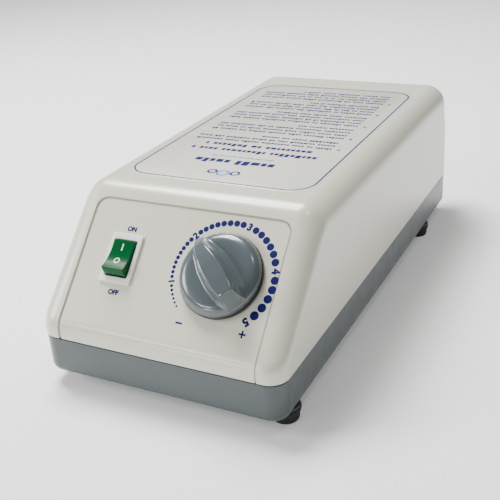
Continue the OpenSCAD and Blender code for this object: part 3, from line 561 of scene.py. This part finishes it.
def build_cover():
    cover = build_mesh("cover_shell", *cover_part())
    pad = round_rect(-15.2, 15.2, PART_Z + 3.3, INLET_Z + 18, 2)
    additions = [lug_part(side, z) for side in (-1, 1) for z in LUG_ZS]
    additions.append(prism(pad, on_back, BACK_Y - 3.5, BACK_Y))
    for x in POST_XS:
        for y, boss_top in zip(POST_YS, BOSS_TOPS):
            additions.append(lathe([(BOSS_R, PART_Z), (BOSS_R, boss_top)], along_z(x, y)))
        back = POST_YS[1]
        additions.append(cube_part((x - 1.2, back + 2, PART_Z + 3.5), (x + 1.2, back + 9, BOSS_TOPS[1])))
    combine(cover, "UNION", additions)

    panel_top_z = SLOPE_FOOT.z + PANEL_RUN * SLOPE_S
    cuts = [recess_part(PANEL_HALF, panel_top_z, PANEL_CORNER, RECESS)]
    cuts.append(groove_part(PANEL_HALF, panel_top_z, PANEL_CORNER, GROOVE_W, GROOVE_DEPTH))
    film = round_rect(LABEL_LOW.x - 0.1, LABEL_HIGH.x + 0.1, LABEL_LOW.y - 0.1, LABEL_HIGH.y + 0.1, 12.1, 12)
    cuts.append(prism(film, on_top, LABEL_LOW.z, TOP_Z + 1))
    switch = round_rect(-6.6, 6.6, -9.7, 9.7, 0.6, 3)
    cuts.append(prism(switch, on_panel(ROCKER_POS), -12, 8))
    cuts.append(prism(circle(0, 0, KNOB_BORE_R, 40), on_panel(KNOB_POS), -10, 8))
    for x in NOZZLE_XS:
        bore = circle(0, 0, NOZZLE_BORE_R, 40)
        cuts.append(prism(bore, along_y(x, NOZZLE_Z), BACK_Y - 10, BACK_Y + 4))
    inlet_low = (-INLET_HALF_W, BACK_Y - 10, INLET_Z - INLET_HALF_H)
    inlet_high = (INLET_HALF_W, BACK_Y + 4, INLET_Z + INLET_HALF_H)
    cuts.append(cube_part(inlet_low, inlet_high))
    for side in (-1, 1):
        bore = circle(0, 0, HOOK_BORE_R, 32)
        cuts.append(prism(bore, along_z(side * HOOK_X, HOOK_Y), LUG_ZS[0] - 3, LUG_ZS[1] + 9))
    for x in POST_XS:
        for y in POST_YS:
            cuts.append(prism(circle(0, 0, SCREW_R, 20), along_z(x, y), PART_Z - 1, 35))
    combine(cover, "DIFFERENCE", cuts)
    finish_edges(cover, 0.14)
    return dress(cover, "cover_plastic", stands_for=["top_cover"])


def tray_part():
    lip = 0.32

    def outline(z, d, corner):
        points = round_rect(-HALF_W + d, HALF_W - d, FRONT_Y + d, BACK_Y - d, max(corner - d, 0.6), 12)
        return [Vector((x, y, z)) for x, y in points]

    outer = []
    for a in range(0, 91, 10):
        turn = math.radians(a)
        inset = EDGE_R * (1 - math.sin(turn))
        outer.append(outline(FLOOR_Z + EDGE_R * (1 - math.cos(turn)), inset + 0.3 * math.sin(turn), CORNER_R))
    outer += [outline(z, 0.3, CORNER_R) for z in (13, 17, 21)]
    outer += [outline(PART_Z - lip - h, 0.3 + t, CORNER_R) for h, t in ((0.35, 0), (0.12, 0.08), (0, 0.35))]
    ledge = [
        outline(PART_Z - lip, WALL - 0.1, CORNER_R), outline(PART_Z + 2.6, WALL + 0.2, CORNER_R),
        outline(PART_Z + 3, WALL + 0.5, CORNER_R), outline(PART_Z + 3, WALL + 1.7, CORNER_R),
        outline(PART_Z - 4, WALL + 1.7, CORNER_R), outline(PART_Z - 4.5, WALL + 0.1, CORNER_R),
        outline(FLOOR_Z + WALL + 1.6, WALL + 0.1, CORNER_R), outline(FLOOR_Z + WALL, WALL + 1.7, CORNER_R),
    ]
    return loft(outer + ledge)


def build_tray():
    tray = build_mesh("tray_shell", *tray_part())
    posts = []
    for x in POST_XS:
        for y in POST_YS:
            profile = [(5.2, FLOOR_Z + 1), (4.2, FLOOR_Z + 3.6), (4.2, PART_Z + 0.5)]
            posts.append(lathe(profile, along_z(x, y)))
    for x, y in ISOLATOR_SPOTS:
        posts.append(lathe([(6.6, FLOOR_Z + 1), (6, FLOOR_Z + 3), (6, 10)], along_z(x, y)))
    posts.append(cube_part((12, -4, FLOOR_Z + 1), (16, 0, 34)))
    for x in FOOT_XS:
        for y in FOOT_YS:
            posts.append(lathe([(5.6, FLOOR_Z - 0.8), (5.9, FLOOR_Z - 0.5), (6, FLOOR_Z + 1)], along_z(x, y)))
    combine(tray, "UNION", posts)
    cuts = []
    for x in POST_XS:
        for y in POST_YS:
            cuts.append(prism(circle(0, 0, 3, 32), along_z(x, y), FLOOR_Z - 2, PART_Z - 3.5))
            cuts.append(prism(circle(0, 0, SCREW_R, 24), along_z(x, y), PART_Z - 6, PART_Z + 4))
    for x in FOOT_XS:
        for y in FOOT_YS:
            cuts.append(prism(circle(0, 0, 2, 24), along_z(x, y), FLOOR_Z - 3, FLOOR_Z + 7))
    cuts.append(prism(circle(FILTER_X, FILTER_Y, 15, 64), on_top, FLOOR_Z - 1, FLOOR_Z + WALL + 1))
    for x, y in ISOLATOR_SPOTS + VALVE_SCREW_SPOTS:
        cuts.append(prism(circle(0, 0, SCREW_R, 20), along_z(x, y), 6.8, 14))
    for y in VENT_YS:
        slot_outline = round_rect(-15, 15, y - 1.25, y + 1.25, 1.2, 6)
        cuts.append(prism(slot_outline, on_top, FLOOR_Z - 1, FLOOR_Z + WALL + 1))
    combine(tray, "DIFFERENCE", cuts)
    finish_edges(tray, 0.12)
    return dress(tray, "tray_plastic", stands_for=["bottom_tray"])


def build_feet():
    parts = []
    profile = [
        (3.2, 0.9), (3.6, 0.15), (4.6, 0.0), (5.05, 0.12), (5.4, 0.5), (5.55, 1.0), (5.7, 3.0),
        (6.1, 4.2), (6.3, 5.1), (6.3, FLOOR_Z - 0.2), (6.2, FLOOR_Z - 0.06), (6.06, FLOOR_Z - 0.06),
        (6.04, FLOOR_Z - 0.82), (1.95, FLOOR_Z - 0.82), (1.95, FLOOR_Z + WALL),
        (2.5, FLOOR_Z + WALL), (1.3, FLOOR_Z + WALL + 2.1),
    ]
    for x in FOOT_XS:
        for y in FOOT_YS:
            parts.append(lathe(profile, along_z(x, y)))
    feet = build_mesh("feet_rubber", *merge(parts))
    finish_edges(feet, 0)
    return dress(feet, "foot_rubber", stands_for=["rubber_feet"])


# ---------------------------------------------------------------- switch

def build_bezel():
    place = on_panel(ROCKER_POS - RECESS * PANEL_N)
    outlines = [
        (6.5, 9.6, 9.6, 0.6, -15.0), (6.5, 9.6, 9.6, 0.6, 0.0), (7.4, 10.6, 10.8, 0.5, 0.0),
        (7.4, 10.6, 10.8, 0.5, 0.9), (7.28, 10.48, 10.68, 0.45, 1.15), (7.1, 10.3, 10.5, 0.4, 1.22),
        (5.75, 8.4, 8.4, 0.4, 1.3), (5.55, 8.2, 8.2, 0.35, 1.2), (5.38, 8.02, 8.02, 0.3, 0.95),
        (5.35, 8.0, 8.0, 0.3, -9.0),
    ]
    rings = [
        [place(x, y, h) for x, y in round_rect(-w, w, -low, high, r, 5)] for w, low, high, r, h in outlines
    ]
    bezel = build_mesh("switch_bezel", *loft(rings))
    finish_edges(bezel, 0.08)
    return dress(bezel, "switch_shell", stands_for=["switch_housing"])


def rocker_top(y):
    """Height of the rocker's valley above the pivot."""
    return 2.3 + 1.27 * (y / ROCKER_HALF) ** 2


def rocker_place(x, y, h):
    """Local rocker point, turned to its rest tilt about the pivot."""
    tilt = math.radians(ROCKER_TILT)
    up = y * math.cos(tilt) - h * math.sin(tilt)
    out = y * math.sin(tilt) + h * math.cos(tilt)
    return ROCKER_POS + x * PANEL_X + up * PANEL_U + out * PANEL_N


def build_rocker():
    outline = arc(ROCKER_R, -24, 29, 4)
    outline += [(y, rocker_top(y)) for y in [ROCKER_HALF * (1 - k / 12) for k in range(1, 24)]]
    outline += arc(ROCKER_R, 152, 205, 4)
    rings = [[rocker_place(x, y, h) for y, h in outline] for x in (-5.15, 5.15)]
    rocker = build_mesh("rocker_cap", *loft(rings))
    finish_edges(rocker, 0.3, 3, 20)
    dress(rocker, "switch_green", "rocker", ["switch_rocker"])

    def on_rocker(x, y, h):
        return rocker_place(x, y, rocker_top(y) + h)

    bar_ys = (2.4, 3.4, 4.4, 5.3)
    bar = [(0.27, y) for y in bar_ys] + [(-0.27, y) for y in reversed(bar_ys)]
    marks = [prism(bar, on_rocker, -0.1, 0.05)]
    marks.append(ring_prism(circle(0, -2.4, 1.35), circle(0, -2.4, 0.9), on_rocker, -0.1, 0.05))
    dress(build_mesh("rocker_marks", *merge(marks)), "switch_green", "rocker", paint=MARK_WHITE)


# ---------------------------------------------------------------- knob

FLANGE_R = 17.25
RIDGE_TAIL = -13.2
RIDGE_NOSE = 17.0
BASE_TAIL = -16.4
BASE_NOSE = 17.5
RIDGE_HALF = [
    (-13.2, 3.0), (-9, 3.7), (-4, 4.1), (1, 3.95), (6, 3.2), (10, 2.4), (13, 1.85), (15.5, 1.4), (17, 0.95),
]
RIDGE_TOP = [(-13.2, 12.8), (-6, 13.2), (2, 13.1), (6, 12.6), (9, 11.8), (12, 10.2), (14.5, 8.2), (17, 5.9)]
BASE_HALF = [(-16.4, 4.2), (-12, 5.9), (-4, 6.9), (4, 6.5), (10, 5.0), (14, 3.5), (16, 2.6), (17.5, 1.7)]
FLANGE_Z = [(0, 5.8), (10, 6.0), (12.5, 6.1), (14, 5.9), (15.2, 5.4), (16.2, 4.6), (16.9, 3.7), (17.25, 2.5)]
RIM_R = [(0, 18.1), (4, 18.0), (8, 17.6), (12, 17.3), (16, 17.25), (180, 17.25)]
SIDE_STEPS = 26


def half_stations():
    """(share along the ridge, share across the end, angle) from the tail's middle to the nose's."""
    rows = [(0.0, k / 4, 180 - 14 * k / 4) for k in range(4)]
    for k in range(SIDE_STEPS + 1):
        t = k / SIDE_STEPS
        share = 0.5 - 0.5 * math.cos(math.pi * t)
        rows.append((mix(t, share, 0.55), 1.0, mix(166, 5, t)))
    rows += [(1.0, 1 - k / 3, 5 - 5 * k / 3) for k in range(1, 4)]
    return rows


def closed_curve(point):
    """A closed curve from point(row) on the right half and its mirror image on the left."""
    rows = half_stations()
    right = [point(row) for row in rows]
    left = [(-x, y, h) for x, y, h in right[1:-1]]
    return right + left[::-1]


def ridge_curve(v, inset=0.0, narrow=1.0):
    """Curve down the ridge's side: v 0 is the top outline, 1 is the base on the flange."""

    def point(row):
        share, across, angle = row
        top_y = mix(RIDGE_TAIL + inset, RIDGE_NOSE - inset, share)
        base_y = mix(BASE_TAIL, BASE_NOSE, share)
        top_x = (lerp_table(RIDGE_HALF, top_y) - inset) * across * narrow
        base_x = lerp_table(BASE_HALF, base_y) * across
        bow = v ** 2.3
        x = mix(top_x, base_x, bow)
        y = mix(top_y, base_y, v ** 1.15)
        reach = math.hypot(base_x, base_y) * FLANGE_R / lerp_table(RIM_R, angle)
        base_h = lerp_table(FLANGE_Z, reach)
        return (x, y, mix(lerp_table(RIDGE_TOP, top_y), base_h, v))

    return closed_curve(point)


def flange_curve(share):
    """Curve between the ridge's base (0) and the rim (1), lying on the flange."""

    def point(row):
        along, across, angle = row
        base_y = mix(BASE_TAIL, BASE_NOSE, along)
        base_x = lerp_table(BASE_HALF, base_y) * across
        rim = lerp_table(RIM_R, angle)
        rim_x = rim * math.sin(math.radians(angle))
        rim_y = rim * math.cos(math.radians(angle))
        x = mix(base_x, rim_x, share)
        y = mix(base_y, rim_y, share)
        return (x, y, lerp_table(FLANGE_Z, math.hypot(x, y) * FLANGE_R / rim))

    return closed_curve(point)


def ring_curve(radius, h, follow=False):
    def point(row):
        angle = row[2]
        r = radius + (lerp_table(RIM_R, angle) - FLANGE_R if follow else 0)
        return (r * math.sin(math.radians(angle)), r * math.cos(math.radians(angle)), h)

    return closed_curve(point)


def build_knob():
    place = on_panel(KNOB_POS, KNOB_TURN)
    curves = [ridge_curve(0, 0.4, narrow) for narrow in (0.0, 0.4, 0.8, 1.0)]
    curves += [ridge_curve(v) for v in (0.03, 0.07, 0.14, 0.24, 0.36, 0.5, 0.64, 0.77, 0.87, 0.94, 0.98, 1.0)]
    curves += [flange_curve(s) for s in (0.08, 0.2, 0.34, 0.48, 0.6, 0.7, 0.78, 0.85, 0.91, 0.96, 1.0)]
    curves += [ring_curve(FLANGE_R, 2.2, True), ring_curve(17.1, 2.0, True), ring_curve(16.6, 1.95, True)]
    curves += [ring_curve(15.3, 1.85), ring_curve(15.25, 3.5), ring_curve(5.5, 3.5), ring_curve(5.5, 2.9)]
    curves += [ring_curve(3.0, 2.9), ring_curve(3.0, 10.0)]
    rings = [[place(x, y, h) for x, y, h in curve] for curve in curves]
    knob = build_mesh("knob_grip", *loft(rings, cap_start=False), smooth_angle=62)
    dress(knob, "knob_plastic", "knob", ["pressure_knob"])
    # painted shadow: a black ring just under the flange, a little wider than it, stands in for the shade in
    # the gap between knob and panel
    shadow_ring_profile = [(15.35, 0.5), (17.3, 0.35), (17.6, 0.55), (17.6, 1.75), (17.1, 1.95), (16.0, 2.1), (15.35, 2.1)]
    rings = [[place(x, y, h) for x, y in circle(0, 0, r, 96)] for r, h in shadow_ring_profile]
    knob_shadow_ring = build_mesh("knob_shadow_ring", *loft(rings, close=True))
    dress(knob_shadow_ring, "knob_plastic", "knob", paint=MATERIALS["black_plastic"])


# ---------------------------------------------------------------- printed marks

# how far print reaches into and above the surface that carries it
PRINT_SPAN = (-0.02, 0.03)


def text_part(string, height, place, low, high, turn=0.0, at=(0, 0)):
    """A generic word or numeral from the built-in font as a thin closed plate centred on a point."""
    curve = bpy.data.curves.new("text", "FONT")
    curve.body = string
    curve.size = 1.0
    curve.offset = 0.06
    curve.resolution_u = 4
    holder = bpy.data.objects.new("text", curve)
    bpy.context.scene.collection.objects.link(holder)
    bpy.context.view_layer.update()
    graph = bpy.context.evaluated_depsgraph_get()
    mesh = bpy.data.meshes.new_from_object(holder.evaluated_get(graph))
    bpy.data.objects.remove(holder)
    work = bmesh.new()
    work.from_mesh(mesh)
    bmesh.ops.remove_doubles(work, verts=work.verts, dist=1e-5)
    work.to_mesh(mesh)
    work.free()
    xs = [v.co.x for v in mesh.vertices]
    ys = [v.co.y for v in mesh.vertices]
    scale = height / (max(ys) - min(ys))
    mid_x = (max(xs) + min(xs)) / 2
    mid_y = (max(ys) + min(ys)) / 2
    c = math.cos(math.radians(turn))
    s = math.sin(math.radians(turn))
    flat = []
    for v in mesh.vertices:
        x = (v.co.x - mid_x) * scale
        y = (v.co.y - mid_y) * scale
        flat.append((at[0] + c * x - s * y, at[1] + s * x + c * y))
    count = len(flat)
    points = [place(x, y, low) for x, y in flat] + [place(x, y, high) for x, y in flat]
    faces = []
    uses = {}
    for poly in mesh.polygons:
        ids = list(poly.vertices)
        faces.append(tuple(ids[::-1]))
        faces.append(tuple(count + k for k in ids))
        for a, b in zip(ids, ids[1:] + ids[:1]):
            uses.setdefault((min(a, b), max(a, b)), []).append((a, b))
    for pairs in uses.values():
        if len(pairs) == 1:
            a, b = pairs[0]
            faces.append((a, b, count + b, count + a))
    return points, faces


DIAL_SLOTS = 39
DIAL_START = -133.9
DIAL_SWEEP = 271.5
DIAL_R = 21.95
DIAL_SHIFT = 0.25
NUMERAL_SLOTS = {6: "1", 16: "2", 25: "3", 32: "4", 38: "5"}


def dial_angles():
    """Slot angles clockwise from up the slope; the steps widen as the dots grow."""
    weights = [1 + 1.31 * (k / 37) ** 1.54 for k in range(DIAL_SLOTS - 1)]
    total = sum(weights)
    angles = [DIAL_START]
    for weight in weights:
        angles.append(angles[-1] + DIAL_SWEEP * weight / total)
    return angles


def cross_outline(cx, cy, reach, upright, half):
    """Outline of a plus sign; with the upright as short as the bar is thick it is a minus sign."""
    if upright <= half:
        left, right = cx - reach, cx + reach
        return [(left, cy - half), (right, cy - half), (right, cy + half), (left, cy + half)]
    corners = [(reach, -half), (reach, half), (half, half), (half, upright)]
    corners += [(-x, y) for x, y in corners[::-1]]
    lower = [(x, -y) for x, y in corners if abs(y) > half or abs(x) <= half][::-1]
    return [(cx + x, cy + y) for x, y in corners + [(-reach, -half)] + lower]


def build_dial():
    place = on_panel(KNOB_POS)
    parts = []
    for k, angle in enumerate(dial_angles()):
        a = math.radians(angle)
        cx = DIAL_R * math.sin(a)
        cy = DIAL_R * math.cos(a) + DIAL_SHIFT
        along = k / (DIAL_SLOTS - 1)
        if k in NUMERAL_SLOTS:
            height = 2.6 + 1.1 * along
            parts.append(text_part(NUMERAL_SLOTS[k], height, place, *PRINT_SPAN, -angle, (cx, cy)))
        else:
            dot_r = 0.45 + 1.4 * along ** 0.9
            parts.append(prism(circle(cx, cy, dot_r, 20), place, *PRINT_SPAN))
    for upright, ring_r, angle in ((0.36, 24.8, -149.3), (1.5, 25.5, 144.6)):
        a = math.radians(angle)
        cx = ring_r * math.sin(a)
        cy = ring_r * math.cos(a)
        parts.append(prism(cross_outline(cx, cy, 1.5, upright, 0.37), place, *PRINT_SPAN))
    switch = on_panel(ROCKER_POS - RECESS * PANEL_N)
    parts.append(text_part("ON", 2.3, switch, *PRINT_SPAN, 0, (0.3, 13.4)))
    parts.append(text_part("OFF", 2.3, switch, *PRINT_SPAN, 0, (0.8, -14.3)))
    dress(build_mesh("panel_print", *merge(parts)), "label_film", paint=NAVY)


def label_place(x, y, h):
    """The top print reads from the rear: its right is -X and its top is towards the front."""
    return Vector((x, y, LABEL_HIGH.z + h))


# first line of each bulleted paragraph along the label, and its number of lines
PARAGRAPHS = [(-9, 3), (6.5, 4), (26, 4), (45.5, 4), (65, 4)]
LINE_STEP = 4.3


def word_blocks(x0, x1, y, height, density=0.62):
    """A greeked line of print: runs of letter-sized blocks with word gaps, from x0 down to x1."""
    blocks = []
    x = x0
    letters = rng.randint(3, 9)
    while x > x1:
        width = height * density * rng.choice((0.75, 0.9, 1.0, 1.0, 1.25))
        tall = height * rng.choice((0.72, 0.72, 0.72, 0.74, 1.0))
        low = y + height * 0.5
        blocks.append([(x - width, low - tall), (x, low - tall), (x, low), (x - width, low)])
        x -= width + height * 0.16
        letters -= 1
        if letters == 0:
            letters = rng.randint(2, 9)
            x -= height * 0.5
    return blocks


def build_label():
    film_rings = []
    for h, d in ((-0.15, 0), (-0.03, 0), (0, 0.06)):
        outline = round_rect(LABEL_LOW.x + d, LABEL_HIGH.x - d, LABEL_LOW.y + d, LABEL_HIGH.y - d, 12 - d, 12)
        film_rings.append([label_place(x, y, h) for x, y in outline])
    film = build_mesh("label_film", *loft(film_rings))
    dress(film, "label_film", stands_for=["instruction_label"])

    mid_y = (LABEL_LOW.y + LABEL_HIGH.y) / 2
    half_l = (LABEL_HIGH.y - LABEL_LOW.y) / 2 - 1.2
    half_w = LABEL_HIGH.x - 1.2
    navy = []
    outer = round_rect(-half_w, half_w, mid_y - half_l, mid_y + half_l, 11, 14)
    inner = round_rect(-half_w + 0.75, half_w - 0.75, mid_y - half_l + 0.75, mid_y + half_l - 0.75, 10.25, 14)
    navy.append(ring_prism(outer, inner, label_place, *PRINT_SPAN))
    light = []
    for k, (x, r) in enumerate(((-5.5, 2.4), (0, 3.1), (5.5, 2.4))):
        target = light if k == 1 else navy
        y = LABEL_LOW.y + 12.5 - (0.8 if k == 1 else 0)
        target.append(ring_prism(circle(x, y, r), circle(x, y, r - 1.0), label_place, *PRINT_SPAN))
    lines = [
        (navy, 18, -19, LABEL_LOW.y + 25, 5.0, 0.66), (light, 15, -15, LABEL_LOW.y + 31.5, 1.4, 0.6),
        (navy, 32, -31, LABEL_LOW.y + 39.5, 3.7, 0.55), (navy, 27, -26, LABEL_LOW.y + 46.5, 3.7, 0.55),
    ]
    for target, x0, x1, y, height, density in lines:
        for block in word_blocks(x0, x1, y, height, density):
            target.append(prism(block, label_place, *PRINT_SPAN))
    for start, count in PARAGRAPHS:
        navy.append(prism(circle(37.5, start, 0.8, 16), label_place, *PRINT_SPAN))
        for line in range(count):
            end = -36 if line < count - 1 else rng.uniform(-24, 10)
            for block in word_blocks(34, end, start + LINE_STEP * line, 2.3, 0.52):
                navy.append(prism(block, label_place, *PRINT_SPAN))
    dress(build_mesh("label_print", *merge(navy)), "label_film", paint=NAVY)
    dress(build_mesh("label_print_light", *merge(light)), "label_film", paint=LIGHT_BLUE)


def build_rating_print():
    low, high = RATING_LOW, RATING_HIGH

    def place(x, y, h):
        return Vector((x, y, low.z - h))

    parts = []
    mid_x = (low.x + high.x) / 2
    outer = round_rect(low.x + 1, high.x - 1, low.y + 1, high.y - 1, 1.5, 4)
    inner = round_rect(low.x + 1.4, high.x - 1.4, low.y + 1.4, high.y - 1.4, 1.1, 4)
    parts.append(ring_prism(outer, inner, place, *PRINT_SPAN))
    for k in range(9):
        y = high.y - 5 - 4.4 * k
        for block in word_blocks(high.x - 3, mix(low.x + 3, mid_x, rng.random() * 0.7), y, 1.5):
            parts.append(prism(block, place, *PRINT_SPAN))
    dress(build_mesh("rating_print", *merge(parts)), "label_film", paint=RATING_GREY)


# ---------------------------------------------------------------- CAD pieces that are shown as they are

SLOT_OF_NODE = {
    "case_screws": "zinc_steel", "rating_label": "label_film", "switch_terminals": "brass",
    "switch_lamp": "lamp_glass", "regulator_body": "brass", "regulator_spindle": "zinc_steel",
    "regulator_needle": "brass", "regulator_nut": "zinc_steel", "regulator_oring": "soft_rubber",
    "valve_motor": "zinc_steel", "motor_shaft": "zinc_steel", "valve_rotor": "nylon_white",
    "valve_stator": "nylon_white", "valve_spring": "hook_steel", "valve_bracket": "zinc_steel",
    "valve_screws": "zinc_steel", "compressor_base": "zinc_steel", "isolator_mounts": "soft_rubber",
    "isolator_screws": "zinc_steel", "pump_frame": "nylon_white", "coil_core": "core_steel",
    "coil_bobbin": "nylon_white", "coil_winding": "copper", "arm_left": "zinc_steel",
    "arm_right": "zinc_steel", "magnet_left": "core_steel", "magnet_right": "core_steel",
    "arm_pins": "hook_steel", "diaphragms": "soft_rubber", "pump_heads": "nylon_white",
    "valve_flaps": "flap_rubber", "head_covers": "black_plastic", "head_screws": "zinc_steel",
    "air_manifold": "black_plastic", "tube_pump": "tube_silicone", "tube_feed": "tube_silicone",
    "tube_regulator": "tube_silicone", "tube_out_a": "tube_silicone", "tube_out_b": "tube_silicone",
    "air_nozzles": "black_plastic", "nozzle_nuts": "zinc_steel", "intake_filter": "filter_felt",
    "filter_grille": "tray_plastic", "power_inlet": "black_plastic", "inlet_pins": "brass",
    "fuse_drawer": "black_plastic", "fuses": "lamp_glass", "terminal_block": "nylon_white",
    "mains_wires": "wire_pvc", "bed_hook_left": "hook_steel", "bed_hook_right": "hook_steel",
}


def dress_cad_nodes():
    for name, slot_name in SLOT_OF_NODE.items():
        obj = frame["nodes"][name]
        obj.data.materials.clear()
        obj.data.materials.append(MATERIALS[slot_name])


# ---------------------------------------------------------------- stage, light and camera

def area_light(name, location, target, size, power, colour=(1, 1, 1)):
    data = bpy.data.lights.new(name, "AREA")
    data.shape = "RECTANGLE"
    data.size = size[0]
    data.size_y = size[1]
    data.energy = power
    data.color = colour
    lamp = bpy.data.objects.new(name, data)
    lamp.location = location
    lamp.rotation_euler = (Vector(target) - Vector(location)).to_track_quat("-Z", "Y").to_euler()
    bpy.context.scene.collection.objects.link(lamp)


CAMERA_AT = (0.1679, -0.3481, 0.2029)

# small lights whose reflections the camera sees: spot on the casing, its lean sideways and up, size, power
GLINTS = [
    ("glint_bend", (0.022, -0.085, 0.07), (0, 62), (0.1, 0.06), 1.0),
    ("glint_lip", (0.03, -0.117, 0.026), (0, 20), (0.2, 0.03), 0.8),
    ("glint_corner", (0.05, -0.06, 0.072), (24, 56), (0.08, 0.08), 0.9),
]


def build_stage():
    floor = build_mesh("floor", *prism(round_rect(-4000, 4000, -4000, 4000, 100, 3), on_top, -10, 0))
    paper = material("stage_paper", (250, 250, 250), 0.9, bump=0.02, mottle=0.004, glow=0.2)
    floor.data.materials.append(paper)
    world = bpy.data.worlds.new("studio")
    world.use_nodes = True
    world.node_tree.nodes["Background"].inputs["Color"].default_value = (1, 1, 1, 1)
    world.node_tree.nodes["Background"].inputs["Strength"].default_value = 0.26
    bpy.context.scene.world = world
    area_light("overhead", (-0.36, 0.22, 0.9), (0, 0, 0.04), (0.5, 0.42), 19.5)
    area_light("front_low", (-0.45, -0.88, 0.34), (0, -0.1, 0.04), (0.3, 0.035), 1.5)
    area_light("key_left", (-0.95, -0.55, 0.55), (0, 0, 0.04), (0.4, 0.4), 8.0)
    eye = Vector(CAMERA_AT)
    for name, at, lean, size, power in GLINTS:
        side, up = (math.radians(angle) for angle in lean)
        facing = Vector((math.sin(side), -math.cos(up), math.sin(up))).normalized()
        spot = Vector(at)
        view = (eye - spot).normalized()
        toward = 2 * facing.dot(view) * facing - view
        area_light(name, spot + 0.9 * toward, spot, size, power)


def build_camera():
    right = Vector((0.8931, 0.4452, -0.0654)).normalized()
    forward = Vector((-0.4282, 0.7963, -0.4272))
    forward = (forward - forward.dot(right) * right).normalized()
    up = right.cross(forward)
    data = bpy.data.cameras.new("camera")
    data.lens = 60.66
    data.sensor_width = 36
    data.shift_x = 0.0122
    data.shift_y = -0.0073
    data.clip_start = 0.01
    camera = bpy.data.objects.new("camera", data)
    camera.matrix_world = Matrix((
        (right.x, up.x, -forward.x, CAMERA_AT[0]),
        (right.y, up.y, -forward.y, CAMERA_AT[1]),
        (right.z, up.z, -forward.z, CAMERA_AT[2]),
        (0, 0, 0, 1),
    ))
    bpy.context.scene.collection.objects.link(camera)
    bpy.context.scene.camera = camera


build_cover()
build_tray()
build_feet()
build_bezel()
build_rocker()
build_knob()
build_dial()
build_label()
build_rating_print()
dress_cad_nodes()
build_stage()
build_camera()
